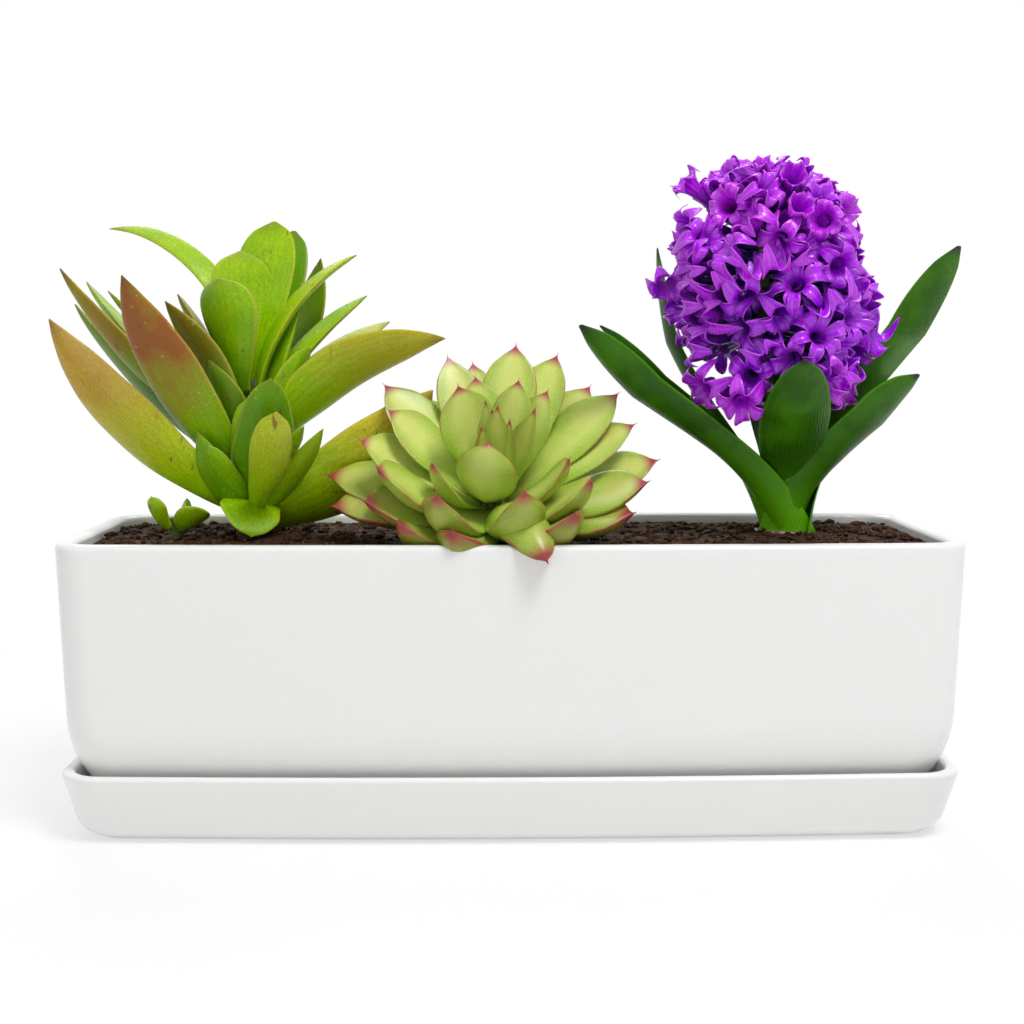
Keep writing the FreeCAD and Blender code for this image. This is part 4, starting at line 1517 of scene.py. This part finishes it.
@dataclass
class FanSucculent:
    """The upright succulent at the left: a short stem with long fleshy leaves, and its offset."""

    root: Vector = field(default_factory=lambda: Vector((-99.756, 0.0, 105.0)))
    height: float = 120.0
    stem_radius: float = 4.6
    stem_tip_radius: float = 3.4
    stem_share: float = 0.5
    stem_below: float = 24.0
    leaf_width: float = 25.0
    leaf_thickness: float = 8.4
    offset_shift: tuple[float, float] = (-0.22, -0.08)
    offset_radius: float = 2.6
    offset_below: float = 9.0
    offset_length: float = 17.0
    leaves: dict[str, FanLeaf] = field(default_factory=lambda: {
        "crown_front": FanLeaf(PADDLE, 0.455, (-0.076, -0.07, 0.81), 4, 10, 1.16, 0.0, 0.02),
        "crown_middle": FanLeaf(PADDLE, 0.485, (-0.022, 0.03, 0.90), 6, -10, 0.98, 0.0, 0.28),
        "crown_back": FanLeaf(PADDLE, 0.475, (0.075, 0.12, 1.0), 8, 10, 1.06, 0.0, 0.26),
        "crown_shade": FanLeaf(PADDLE, 0.40, (0.125, 0.24, 0.98), 8, 14, 0.78, 0.02, -0.30),
        "inner_left": FanLeaf(LANCE, 0.37, (-0.223, 0.04, 0.766), 16, 12, 0.80, 0.45, -0.30),
        "inner_front_left": FanLeaf(LANCE, 0.30, (-0.221, -0.16, 0.738), 22, 10, 0.86, 0.60, -0.20),
        "arching_left": FanLeaf(LANCE, 0.44, (-0.464, 0.17, 0.982), 100, -34, 0.42, 0.02, 0.30),
        "arching_right": FanLeaf(LANCE, 0.42, (0.344, 0.02, 0.889), 62, 26, 0.46, 0.05, 0.32),
        "right_back": FanLeaf(LANCE, 0.37, (0.213, 0.20, 0.888), -34, 6, 0.88, 0.20, -0.30),
        "right_slim": FanLeaf(LANCE, 0.36, (0.373, 0.05, 0.762), 34, 26, 0.52, 0.05, 0.20),
        "right_shade": FanLeaf(LANCE, 0.29, (0.436, 0.19, 0.684), 30, 20, 0.80, 0.20, 0.40),
        "right_large": FanLeaf(LANCE, 0.24, (0.626, -0.12, 0.625), 58, -50, 0.92, 0.35, 0.46),
        "right_low": FanLeaf(LANCE, 0.05, (0.585, -0.03, 0.463), -38, -52, 1.42, 0.0, 0.68),
        "front_large": FanLeaf(LANCE, 0.19, (-0.315, -0.32, 0.807), -18, 34, 0.92, 1.0, 0.12),
        "left_large": FanLeaf(LANCE, 0.09, (-0.544, -0.27, 0.681), -30, 44, 0.98, 0.50, 0.72),
        "left_shade": FanLeaf(LANCE, 0.22, (-0.55, 0.05, 0.735), -20, 14, 0.88, 0.10, -0.50),
        "left_upper": FanLeaf(LANCE, 0.32, (-0.54, 0.16, 0.81), -16, 10, 0.86, 0.08, 0.15),
        "left_back": FanLeaf(LANCE, 0.27, (-0.559, -0.08, 0.84), -22, 26, 0.74, 0.75, 0.20),
        "left_small": FanLeaf(LANCE, 0.37, (-0.447, 0.06, 0.777), -6, 24, 0.42, 0.15, 0.15),
        "front_blade": FanLeaf(OVAL, 0.12, (0.106, -0.25, 0.503), -20, -14, 0.86, 0.0, -0.30),
        "front_paddle": FanLeaf(PADDLE, 0.065, (0.131, -0.33, 0.406), -34, -20, 0.60, 0.02, 0.42),
        "front_small": FanLeaf(LANCE, 0.155, (0.20, -0.22, 0.36), -10, -20, 0.38, 0.10, 0.20),
        "front_right_slim": FanLeaf(LANCE, 0.055, (0.254, -0.18, 0.35), -12, -30, 0.42, 0.10, 0.30),
        "front_left_slim": FanLeaf(LANCE, 0.06, (-0.129, -0.18, 0.339), -26, 24, 0.50, 0.05, -0.15),
        "front_oval": FanLeaf(OVAL, 0.115, (0.03, -0.19, 0.020), 50, -14, 0.90, 0.0, 0.25),
    })
    inner_leaves: tuple[FanLeaf, ...] = (
        FanLeaf(LANCE, 0.26, (-0.10, -0.13, 0.56), 14, 8, 0.70, 0.15, -0.30),
        FanLeaf(LANCE, 0.24, (-0.28, 0.02, 0.66), -8, 24, 0.56, 0.10, 0.0),
        FanLeaf(OVAL, 0.20, (0.20, -0.06, 0.60), 20, -16, 0.72, 0.0, 0.10),
        FanLeaf(LANCE, 0.30, (0.16, 0.04, 0.72), 14, 20, 0.50, 0.0, 0.15),
        FanLeaf(OVAL, 0.10, (-0.10, -0.18, 0.30), -14, 18, 0.50, 0.0, 0.05),
        FanLeaf(OVAL, 0.14, (0.02, -0.16, 0.44), -10, -8, 0.56, 0.0, 0.10),
        FanLeaf(LANCE, 0.22, (0.34, 0.16, 0.56), 20, 20, 0.60, 0.0, 0.20),
        FanLeaf(LANCE, 0.20, (-0.30, 0.22, 0.58), 10, -20, 0.60, 0.0, 0.10),
        FanLeaf(LANCE, 0.28, (0.02, 0.30, 0.74), 12, 10, 0.66, 0.0, -0.20),
    )
    offset_leaves: tuple[FanLeaf, ...] = (
        FanLeaf(PADDLE, 0.035, (-0.07, -0.03, 0.135), -20, 20, 0.44, 0.0, 0.25),
        FanLeaf(OVAL, 0.045, (0.03, 0.02, 0.125), -10, -20, 0.46, 0.0, 0.2),
        FanLeaf(OVAL, 0.03, (0.11, -0.06, 0.09), 60, -30, 0.46, 0.0, 0.2),
    )

    def blade(self, root: Vector, radius: float, leaf: FanLeaf, own: float) -> Blade:
        """The leaf in millimetres.

        Args:
            root: The foot of the stem that carries it.
            radius: That stem's radius.
            leaf: Its description.
            own: A number that is its alone.

        Returns:
            The leaf, ready to grow.
        """
        tip = root + Vector(leaf.tip) * self.height
        point = root + UP * (self.height * leaf.attach)
        outward = tip - point
        outward.z = 0.0
        start = point + outward.normalized() * (radius * SEAT)
        thickness = self.leaf_thickness * (1 + leaf.width) / 2
        return Blade(start, tip, UP, leaf.bend, leaf.roll, self.leaf_width * leaf.width, thickness,
                     leaf.outline, 0.12, (leaf.blush, leaf.warmth_and_shade, own), keel=0.35, point=0.4)

    def piece(self, name: str, root: Vector, radius: float, leaves: Iterable[tuple[FanLeaf, float]],
              *nodes: str) -> None:
        """Makes leaves of one stem as one piece.

        Args:
            name: The piece's name.
            root: The foot of the stem.
            radius: The stem's radius.
            leaves: Each leaf and a number that is its alone.
            nodes: The nodes that the piece replaces.
        """
        draft = Draft(name)
        for leaf, own in leaves:
            self.blade(root, radius, leaf, own).grow(draft)
        draft.build(FAN.material(), Body.PLANTER, "fan_green", *nodes)

    def build(self) -> None:
        """Makes every leaf, the stem and the offset."""
        for number, (name, leaf) in enumerate(self.leaves.items()):
            self.piece("succulent_leaf_" + name, self.root, self.stem_tip_radius,
                       [(leaf, number * 0.137 % 1.0)], "fan_leaf_" + name)
        inner = [(leaf, 0.05 + number * 0.11) for number, leaf in enumerate(self.inner_leaves)]
        self.piece("succulent_inner_leaves", self.root, self.stem_radius, inner)
        offset = self.root + Vector((*self.offset_shift, 0.0)) * self.height
        small = [(leaf, 0.31 + number * 0.2) for number, leaf in enumerate(self.offset_leaves)]
        self.piece("succulent_offset_leaves", offset, self.offset_radius, small, "fan_offset_leaves")
        reach = self.stem_below + self.height * self.stem_share
        tip = self.stem_tip_radius
        Stem("succulent_stem", self.root - UP * self.stem_below, UP,
             ((0.0, tip), (self.stem_below, self.stem_radius), (reach, tip)),
             ridges=5).build(BARK, "stem_brown", "fan_stem")
        Stem("succulent_offset_stem", offset - UP * self.offset_below, UP,
             ((0.0, self.offset_radius), (self.offset_length, self.offset_radius)),
             ridges=3).build(BARK, "stem_brown", "fan_offset_stem")


@dataclass
class Stem:
    """A stem with knobs or ridges round it, through stations of height and radius."""

    name: str
    foot: Vector
    axis: Vector
    stations: tuple[tuple[float, float], ...]
    ridges: int = 0
    knobs: float = 0.05
    steps: int = 36
    sides: int = 28

    def draft(self) -> Draft:
        """The stem's mesh.

        Returns:
            The stem, ready to build.
        """
        draft = Draft(self.name)
        right, back = across(self.axis)
        rings = []
        low, high = self.stations[0][0], self.stations[-1][0]
        for step in range(self.steps + 1):
            along = low + (high - low) * step / self.steps
            radius = self.radius(along)
            points = []
            marks = []
            for turn in range(self.sides):
                angle = math.tau * turn / self.sides
                spot = Vector((math.cos(angle) * 1.5, math.sin(angle) * 1.5, along * 0.25))
                swell = 1 + self.knobs * noise.noise(spot)
                swell += 0.02 * math.cos(angle * self.ridges) if self.ridges else 0.0
                offset = towards(right, back, angle) * radius * swell
                points.append(self.foot + self.axis * along + offset)
                marks.append((2 * turn / self.sides - 1, step / self.steps, 1.0))
            rings.append(draft.ring(points, marks, (0.0, 0.2, 0.4)))
        draft.shell(rings)
        return draft

    def radius(self, along: float) -> float:
        """Radius at a height, in a straight line between the stations.

        Args:
            along: The height.

        Returns:
            The radius.
        """
        for (low, first), (high, last) in zip(self.stations, self.stations[1:]):
            if along <= high:
                share = (along - low) / (high - low)
                return first + (last - first) * share
        return self.stations[-1][1]

    def build(self, finish: Finish, slot: str, *nodes: str) -> None:
        """Makes the stem with a finish; the rest is as for a draft."""
        self.draft().build(finish.material(), Body.PLANTER, slot, *nodes)


@dataclass
class RosetteSucculent:
    """The low rosette in the middle: thick pointed leaves round a heart that leans to the front."""

    root: Vector = field(default_factory=lambda: Vector((-7.172, -11.73, 105.0)))
    reach: float = 62.0
    tilt: float = 35.0
    stem_radius: float = 7.0
    stem_tip_radius: float = 5.2
    stem_above: float = 26.0
    stem_below: float = 20.0
    leaf_width: float = 24.0
    leaf_thickness: float = 5.6
    low_below: float = 0.6
    sides: dict[str, tuple] = field(default_factory=lambda: {
        "heart": (
            ((-0.039, -0.343, 0.855), -10, 0.34), ((0.032, -0.424, 0.823), -14, 0.50),
            ((0.252, -0.343, 0.803), -16, 0.58), ((-0.06, -0.44, 0.70), -20, 0.44),
            ((0.10, -0.40, 0.74), -16, 0.46), ((0.0, -0.30, 0.80), -6, 0.40),
        ),
        "inner": (
            ((-0.024, -0.54, 0.62), -84, 0.92), ((-0.197, -0.295, 0.932), -20, 0.96),
            ((0.16, -0.166, 0.963), -12, 0.64), ((0.44, -0.52, 0.52), -50, 0.70),
            ((-0.34, -0.56, 0.50), -50, 0.70), ((0.33, -0.14, 0.90), -8, 0.70),
            ((-0.10, 0.04, 0.98), -6, 0.74),
        ),
        "back": (
            ((-0.27, 0.19, 1.10), 4, 0.74), ((-0.12, 0.34, 1.06), 4, 0.74), ((0.15, 0.22, 1.17), 4, 0.86),
            ((0.40, 0.16, 1.11), 4, 0.82), ((0.60, 0.16, 0.92), 6, 0.88), ((-0.50, 0.34, 0.86), 8, 0.80),
            ((0.24, 0.54, 0.74), 8, 0.90),
        ),
        "right": (
            ((0.76, 0.0, 0.88), 0, 0.90), ((0.85, -0.12, 0.70), 4, 0.86), ((0.98, -0.20, 0.49), -8, 1.0),
            ((0.90, -0.40, 0.38), -22, 0.96), ((0.81, -0.50, 0.21), -26, 0.96),
            ((0.80, 0.06, 0.30), 10, 0.92),
        ),
        "front": (
            ((0.56, -0.66, 0.42), -62, 1.0), ((0.46, -0.78, 0.24), -76, 1.0),
            ((0.17, -0.83, 0.37), -110, 0.84), ((0.30, -0.84, -0.02), 84, 0.80),
            ((-0.22, -0.80, 0.14), -80, 0.90), ((-0.31, -0.76, 0.34), -92, 0.90),
        ),
        "left": (
            ((-0.53, -0.66, 0.17), -66, 0.96), ((-0.73, -0.52, 0.28), -20, 0.98),
            ((-0.94, -0.30, 0.23), 10, 0.92), ((-0.98, -0.10, 0.40), 6, 0.98),
            ((-0.65, -0.60, 0.48), -40, 1.0), ((-0.77, -0.30, 0.62), -2, 0.94),
            ((-0.65, 0.06, 0.93), 2, 0.88), ((-0.61, -0.21, 0.79), 0, 0.84),
        ),
    })

    def axis(self) -> Vector:
        """Direction in which the stem leans, as a unit vector."""
        tilt = math.radians(self.tilt)
        return Vector((0.0, -math.sin(tilt), math.cos(tilt)))

    def blade(self, tip: Vector, bend: float, width: float, thickness: float, tone: tuple) -> Blade:
        """One leaf, seated on the stem for the way it points.

        Args:
            tip: Where it ends.
            bend: How far its midrib turns, in degrees.
            width: Its greatest width.
            thickness: Its greatest thickness.
            tone: Blush, warmth and a number of its own.

        Returns:
            The leaf, ready to grow.
        """
        axis = self.axis()
        chord = tip - (self.root + axis * self.stem_above)
        lean = chord.angle(axis) / math.pi
        point = self.root + axis * (self.stem_above * (1 - 1.1 * lean))
        outward = tip - point
        outward = outward - axis * outward.dot(axis)
        start = point + outward.normalized() * (self.stem_tip_radius * SEAT)
        outline, cup = self.shape(bend, width)
        return Blade(start, tip, axis, bend, 0.0, width, thickness, outline, cup, tone,
                     keel=0.30, point=1.8, wave=0.03, steps=34, sides=24)

    def shape(self, bend: float, width: float) -> tuple[Outline, float]:
        """Outline and cup of a leaf.

        Args:
            bend: How far its midrib turns, in degrees.
            width: Its greatest width.

        Returns:
            A slim bud in the heart, a puffed oval where it hangs, a spoon where it curls up, or a scale.
        """
        if width < self.leaf_width * 0.60:
            return Outline.BUD, 0.24
        if bend > 58:
            return Outline.OVAL, -0.30
        if bend < -58:
            return Outline.SPOON, 0.18
        return Outline.SCALE, 0.18

    def build(self) -> None:
        """Makes the leaves by side and the stem."""
        axis = self.axis()
        for side, leaves in self.sides.items():
            draft = Draft("rosette_side_" + side)
            for number, (place, bend, width) in enumerate(leaves):
                tip = self.root + Vector(place) * self.reach
                low = max(0.0, self.low_below - place[2])
                blush = min(0.30 + 0.9 * low, 0.66) + (0.16 if side == "heart" else 0.0)
                tone = (blush, 0.72 - 0.7 * low, (number * 0.29 + len(side) * 0.13) % 1.0)
                thickness = self.leaf_thickness * (0.4 + 0.85 * width) * (1 + 2.7 * low)
                self.blade(tip, bend, self.leaf_width * width, thickness, tone).grow(draft)
            draft.build(ROSETTE.material(), Body.PLANTER, "rosette_green", "rosette_leaves_" + side)
        Stem("rosette_crown_stem", self.root - axis * self.stem_below, axis,
             ((0.0, self.stem_tip_radius), (self.stem_below, self.stem_radius),
              (self.stem_below + self.stem_above, self.stem_tip_radius)),
             ridges=7).build(BARK, "stem_brown", "rosette_stem")


@dataclass
class Hyacinth:
    """The hyacinth at the right: a buried bulb, strap leaves and a leaning spike of florets."""

    root: Vector = field(default_factory=lambda: Vector((105.624, 0.0, 105.0)))
    lean: float = 5.5
    bulb: tuple[Spot, ...] = ((-42.0, 5.7), (-34.4, 16.0), (-23.5, 19.0), (-10.1, 14.4), (2.4, 11.0))
    scape_length: float = 134.0
    scape_radius: float = 5.0
    scape_tip_radius: float = 2.2
    strap_height: float = 112.0
    strap_width: float = 18.0
    strap_thickness: float = 3.6
    spike_radius: float = 39.0
    spike_height: float = 94.0
    spike_middle: float = 94.0
    spike_top: float = 248.2
    spike_span: float = 1.8
    florets: int = 104
    seed: int = 11
    loose: tuple[tuple, ...] = (
        (4, 52.0, (-34.0, -17.0, 57.0), (-0.5, -0.3, -0.9), 0.8),
        (4, 50.0, (-22.0, -26.0, 52.0), (0.2, -0.4, -1.1), 0.8),
        (4, 54.0, (18.0, -22.0, 56.0), (0.7, -0.1, -1.1), 0.9),
        (4, 56.0, (9.0, -30.0, 62.0), (0.1, -0.2, -1.0), 0.7),
        (0, 112.0, (-37.0, -4.0, 131.0), (-0.6, -0.1, 0.5), 0.32),
        (0, 122.0, (-26.0, -6.0, 142.0), (-0.5, -0.3, 0.4), 0.7),
        (0, 124.0, (6.0, -4.0, 141.0), (0.5, -0.3, 0.5), 0.6),
    )
    petal_reach: float = 13.2
    leaves: dict[str, tuple] = field(default_factory=lambda: {
        "left_long": ((-0.72, -0.22, 0.71), 2, 34, 0.94, (-2.0, -7.5)),
        "left_inner": ((-0.63, 0.10, 0.715), 16, 26, 0.80, (-6.0, 1.0)),
        "back_left": ((-0.42, 0.24, 0.99), -40, 30, 0.84, (-6.0, 5.0)),
        "front_broad": ((-0.02, -0.40, 0.60), 10, 0, 1.42, (0.0, -1.5)),
        "right_short": ((0.39, -0.22, 0.55), 26, -30, 1.14, (3.5, -7.0)),
        "right_long": ((0.62, 0.13, 0.99), 4, 30, 1.0, (7.5, 2.0)),
        "back_upright": ((-0.06, 0.42, 0.72), 6, 0, 0.94, (0.0, 8.0)),
    })

    def axis(self) -> Vector:
        """Direction in which the spike leans, as a unit vector."""
        lean = math.radians(self.lean)
        return Vector((-math.sin(lean), 0.0, math.cos(lean)))

    def build(self) -> None:
        """Makes the bulb, the leaves, the stalk and the florets."""
        self.build_bulb()
        for number, (name, (place, bend, roll, width, foot)) in enumerate(self.leaves.items()):
            tip = self.root + Vector(place) * self.strap_height
            start = self.root + Vector((*foot, -1.0))
            draft = Draft("strap_leaf_" + name)
            outline = Outline.TONGUE if name == "front_broad" else Outline.STRAP
            Blade(start, tip, UP, bend, roll, self.strap_width * width, self.strap_thickness, outline,
                  0.30, (0.0, 0.2, number * 0.143), keel=0.2, point=0.6, wave=0.02, rise=40.0, clasp=0.75,
                  steps=48, sides=26).grow(draft)
            draft.build(STRAP.material(), Body.PLANTER, "strap_green", "hyacinth_leaf_" + name)
        Stem("flower_scape", self.root, self.axis(),
             ((0.0, self.scape_radius), (self.spike_middle / 2, self.scape_radius),
              (self.scape_length, self.scape_tip_radius)),
             knobs=0.04).build(STALK, "strap_green", "hyacinth_scape")
        self.build_florets()

    def build_bulb(self) -> None:
        """Makes the bulb with the ridges of its papery skins."""
        Stem("buried_bulb", self.root, UP, self.bulb, ridges=9).build(TUNIC, "bulb_skin", "hyacinth_bulb")

    def build_florets(self) -> None:
        """Spreads the florets over the egg-shaped spike, in five tiers, then adds the loose ones."""
        names = ("top", "upper", "middle", "lower", "bottom")
        tiers = [Draft("floret_tier_" + name) for name in names]
        chance = random.Random(self.seed)
        for step in range(self.florets):
            level = 1 - self.spike_span * (step + 0.5) / self.florets
            outward = towards(*across(self.axis()), math.tau * (GOLDEN_TURN * step))
            thinned = 0.25 < level < 0.86 and step % 5 == 2
            over_leaf = level < -0.42 and outward.x < -0.50
            if not thinned and not over_leaf:
                floret = self.floret(level, outward, chance)
                self.place_floret(floret, tiers[len(tiers) * step // self.florets])
        for tier, height, mouth, tilt, opened in self.loose:
            tone = (0.5, 0.4, height * 0.37 % 1.0)
            floret = Floret(self.root + self.axis() * height, self.root + Vector(mouth), self.petal_reach,
                            tone, height, Vector(tilt), opened)
            self.place_floret(floret, tiers[tier])
        for name, draft in zip(names, tiers):
            draft.build(PETAL.material(), Body.PLANTER, "petal_violet", "hyacinth_florets_" + name)

    def floret(self, level: float, outward: Vector, chance: random.Random) -> "Floret":
        """One floret of the spike.

        Args:
            level: How high it stands on the spike, from -1 to 1.
            outward: The side that it stands on.
            chance: The source of its unevenness.

        Returns:
            The floret, ready to grow.
        """
        axis = self.axis()
        right, _ = across(axis)
        upper = max(level, 0.0)
        rise = level * self.spike_height / 2
        swell = math.sqrt(1 - abs(level) ** (2.5 if level > 0 else 2.0)) * (1 - 0.10 * level)
        swell *= 1 - 0.26 * max(-level, 0.0) * max(-outward.x, 0.0)
        height = self.spike_middle + rise * 0.76
        taper = (height - self.spike_middle / 2) / (self.scape_length - self.spike_middle / 2)
        radius = self.scape_radius + (self.scape_tip_radius - self.scape_radius) * taper
        base = self.root + axis * height + outward * radius * SEAT
        middle = self.root + axis * (self.spike_middle + rise)
        mouth = middle + outward * (self.spike_radius * swell * chance.uniform(0.76, 1.0))
        mouth += right * chance.uniform(-0.4, 2.8) + axis * chance.uniform(-1.6, 1.6)
        size = self.petal_reach * (1 - 0.22 * upper) * chance.uniform(0.9, 1.06)
        warm = kept(0.15 + 0.5 * level + chance.uniform(-0.25, 0.25))
        tone = (chance.random(), warm, chance.random())
        tilt = Vector((chance.uniform(-1, 1), chance.uniform(-1, 1), chance.uniform(-1, 1))) * 1.2
        tilt.z -= 0.45 * (1 - upper)
        opened = kept(1.1 - 0.45 * upper + chance.uniform(-0.50, 0.15), 0.30)
        return Floret(base, mouth, size, tone, chance.uniform(0, math.tau), tilt, opened)

    def place_floret(self, floret: "Floret", draft: Draft) -> None:
        """Grows a floret, keeps it under the spike's top and marks how deep in the spike each point lies, for
        painted shade.

        Args:
            floret: The floret.
            draft: The tier that it belongs to.
        """
        first = len(draft.points)
        floret.grow(draft)
        axis = self.axis()
        middle = self.root + axis * self.spike_middle
        over = max(point.z for point in draft.points[first:]) - self.spike_top
        for number in range(first, len(draft.points)):
            point = draft.points[number]
            if over > 0:
                point.z -= over
            offset = point - middle
            up = offset.dot(axis)
            round_it = (offset - axis * up).length
            depth = math.hypot(round_it / self.spike_radius, up / (self.spike_height / 2))
            wide, along, _ = draft.grain[number]
            # The upper mark now holds depth, which the finish turns into painted shade deep inside the spike.
            draft.grain[number] = (wide, along, kept((depth - 0.52) / 0.38))


@dataclass
class Floret:
    """One floret: a slim tube that opens into six petals that curl back.

    Attributes:
        base: Where its tube leaves the stalk.
        mouth: The middle of its mouth.
        reach: Length of its petals across the mouth.
        tone: Blush, warmth and a number of its own, for its finish.
        turn: How far it is turned about its axis.
        tilt: How its mouth is tilted off its axis.
        opened: How far it has opened, from 0 to 1.
        steps: Stations along a petal.
        petals: How many petals.
        sides: Vertices round the tube.
        tube: Place and radius of each of the tube's rings.
        columns: Places across a petal, from edge to edge.
        half_thickness: Half of a petal's thickness.
    """

    base: Vector
    mouth: Vector
    reach: float
    tone: tuple[float, float, float]
    turn: float
    tilt: Vector
    opened: float
    steps: int = 10
    petals: int = 6
    sides: int = 12
    tube: tuple[Spot, ...] = ((0.0, 0.9), (0.25, 1.3), (0.50, 2.5), (0.68, 2.7), (0.82, 2.5), (0.94, 3.0))
    columns: tuple[float, ...] = (-1.0, -0.66, -0.33, 0.0, 0.33, 0.66, 1.0)
    half_thickness: float = 0.20

    def grow(self, draft: Draft) -> None:
        """Adds the tube and its petals to a tier.

        Args:
            draft: The tier.
        """
        axis = (self.mouth - self.base).normalized()
        length = (self.mouth - self.base).length
        facing = (axis + self.tilt).normalized()
        rings = []
        for share, radius in self.tube:
            right, back = across(axis.lerp(facing, share).normalized())
            centre = self.base + axis * (length * share)
            points = []
            for step in range(self.sides):
                angle = math.tau * step / self.sides + self.turn
                ripple = 1 + 0.10 * math.cos(angle * self.petals)
                points.append(centre + towards(right, back, angle) * radius * ripple)
            rings.append(draft.ring(points, [(0.5, share * 0.30, 0.0)] * self.sides, self.tone))
        draft.skin(rings)
        draft.cap(rings[0], turned=True)
        right, back = across(facing)
        for step in range(self.petals):
            outward = towards(right, back, math.tau * step / self.petals + self.turn)
            vary = math.sin(step * 2.4 + self.tone[2] * 9.0)
            twist = 0.60 * math.sin(step * 3.7 + self.tone[2] * 23.0)
            width = (6.3 if step % 2 else 5.4) + 0.5 * vary
            self.petal(draft, facing, outward, width, 1.0 + 0.6 * vary, twist)

    def petal(self, draft: Draft, axis: Vector, outward: Vector, width: float, curl: float,
              twist: float) -> None:
        """One petal: it leaves the throat, spreads and curls back.

        Args:
            draft: The tier.
            axis: The direction that the mouth faces.
            outward: Direction in which the petal points.
            width: Its greatest width.
            curl: How strongly its tip curls back.
            twist: How far its tip turns about its midrib, in radians.
        """
        flat = axis.cross(outward)
        wide_open, shut = self.opened, 1 - self.opened
        bow = (
            (1.9, -5.0),
            (2.5 + 0.5 * wide_open, 1.2 + 3.5 * shut),
            (self.reach * (0.74 * wide_open + 0.36 * shut), 4.4 + 4.0 * shut),
            (self.reach * (0.84 * wide_open + 0.30 * shut), -6.8 * curl * wide_open + 7.0 * shut),
        )
        tops = []
        lows = []
        for step in range(self.steps + 1):
            share = step / self.steps
            weights = ((1 - share) ** 3, 3 * share * (1 - share) ** 2, 3 * share**2 * (1 - share), share**3)
            away = sum(weight * place[0] for weight, place in zip(weights, bow))
            along = sum(weight * place[1] for weight, place in zip(weights, bow))
            round_off = 1 - max((share - 0.60) / 0.41, 0.0) ** 2
            half = width / 2 * min(0.46 + 0.95 * share, 1.0) * math.sqrt(max(round_off, 0.05))
            centre = self.mouth + outward * away + axis * along
            side = towards(flat, axis, twist * share)
            top = []
            low = []
            marks = []
            for column in self.columns:
                fold = 0.46 * column * column - 0.16 * (1 - min(abs(column) * 3, 1.0))
                place = centre + side * (half * column) + (axis - outward * 0.35 * share) * (fold * half)
                top.append(place + axis * self.half_thickness)
                low.append(place - axis * self.half_thickness)
                marks.append((column, 0.30 + 0.70 * share, 1.0))
            tops.append(draft.ring(top, marks, self.tone))
            lows.append(draft.ring(low, [(mark[0], mark[1], 0.0) for mark in marks], self.tone))
        draft.shell([top + list(reversed(low)) for top, low in zip(tops, lows)])


@dataclass
class DrainMeshes:
    """The plastic meshes over the drain holes, kept as the frame has them."""

    node: str = "drain_meshes"

    def build(self, nodes: dict[str, bpy.types.Object]) -> None:
        """Gives the meshes their finish.

        Args:
            nodes: The frame's objects by node.
        """
        piece = nodes[self.node]
        if not piece.material_slots:
            piece.data.materials.append(None)
        for slot in piece.material_slots:
            slot.material = MESH.material()
        log.info("%s: finished", self.node)


@dataclass
class Studio:
    """Floor, lamps, world and camera."""

    eye: Vector = field(default_factory=lambda: Vector((-9.7, -587.5, 174.3)))
    pitch: float = 5.86
    yaw: float = 1.0
    lens: float = 54.0
    film: float = 36.0
    floor_half: float = 4.0
    soft_light: float = 0.40
    aim: Vector = field(default_factory=lambda: Vector((0.0, 0.0, 0.11)))
    lamps: tuple[tuple, ...] = (
        ("key_lamp", (0.38, -0.55, 1.35), 0.5, 13.0),
        ("fill_lamp", (-0.9, -0.95, 0.60), 0.8, 1.6),
        ("back_lamp", (-0.15, 0.80, 1.05), 0.8, 6.0),
    )

    def build(self) -> None:
        """Sets up everything round the object."""
        self.build_floor()
        self.build_camera()
        self.build_world()
        for lamp in self.lamps:
            self.lamp(*lamp)
        bpy.context.scene.view_settings.view_transform = "Standard"

    def build_floor(self) -> None:
        """A wide floor that the saucer stands on."""
        mesh = bpy.data.meshes.new("studio_floor")
        half = self.floor_half
        corners = [(-half, -half, 0), (half, -half, 0), (half, half, 0), (-half, half, 0)]
        mesh.from_pydata(corners, [], [(0, 1, 2, 3)])
        floor = add_object("studio_floor", mesh)
        mesh.materials.append(FLOOR.material())

    def build_camera(self) -> None:
        """The camera at the photograph's place."""
        data = bpy.data.cameras.new("camera")
        data.lens = self.lens
        data.sensor_width = self.film
        data.clip_start = 0.01
        camera = add_object("camera", data)
        camera.location = self.eye * METRES
        camera.rotation_euler = (math.radians(90.0 - self.pitch), 0.0, math.radians(-self.yaw))
        bpy.context.scene.camera = camera

    def build_world(self) -> None:
        """Soft light from all round, and plain white behind the object."""
        world = bpy.data.worlds.new("studio")
        bpy.context.scene.world = world
        world.use_nodes = True
        sheet = Shading(world.node_tree)
        soft = sheet.add("Background", Color=WHITE, Strength=self.soft_light)
        white = sheet.add("Background", Color=WHITE, Strength=1.0)
        sheet.add("OutputWorld", Surface=sheet.join(sheet.seen(), soft, white))

    def lamp(self, name: str, place: tuple[float, float, float], size: float, power: float) -> None:
        """A large square lamp that looks at the planter.

        Args:
            name: Its name.
            place: Where it stands, in metres.
            size: Its side, in metres.
            power: Its power, in watts.
        """
        data = bpy.data.lights.new(name, "AREA")
        data.size = size
        data.energy = power
        lamp = add_object(name, data)
        lamp.location = place
        lamp.rotation_euler = (self.aim - Vector(place)).to_track_quat("-Z", "Y").to_euler()


def main() -> None:
    """Builds the planter piece by piece."""
    logging.basicConfig(level=logging.INFO, format="%(name)s: %(message)s")
    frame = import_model()
    trough = Trough()
    DripSaucer().build()
    trough.build()
    DrainMeshes().build(frame["nodes"])
    SoilBed(trough).build()
    FanSucculent().build()
    RosetteSucculent().build()
    Hyacinth().build()
    Studio().build()
    log.info("sizes kept")


if __name__ == "__main__":
    main()
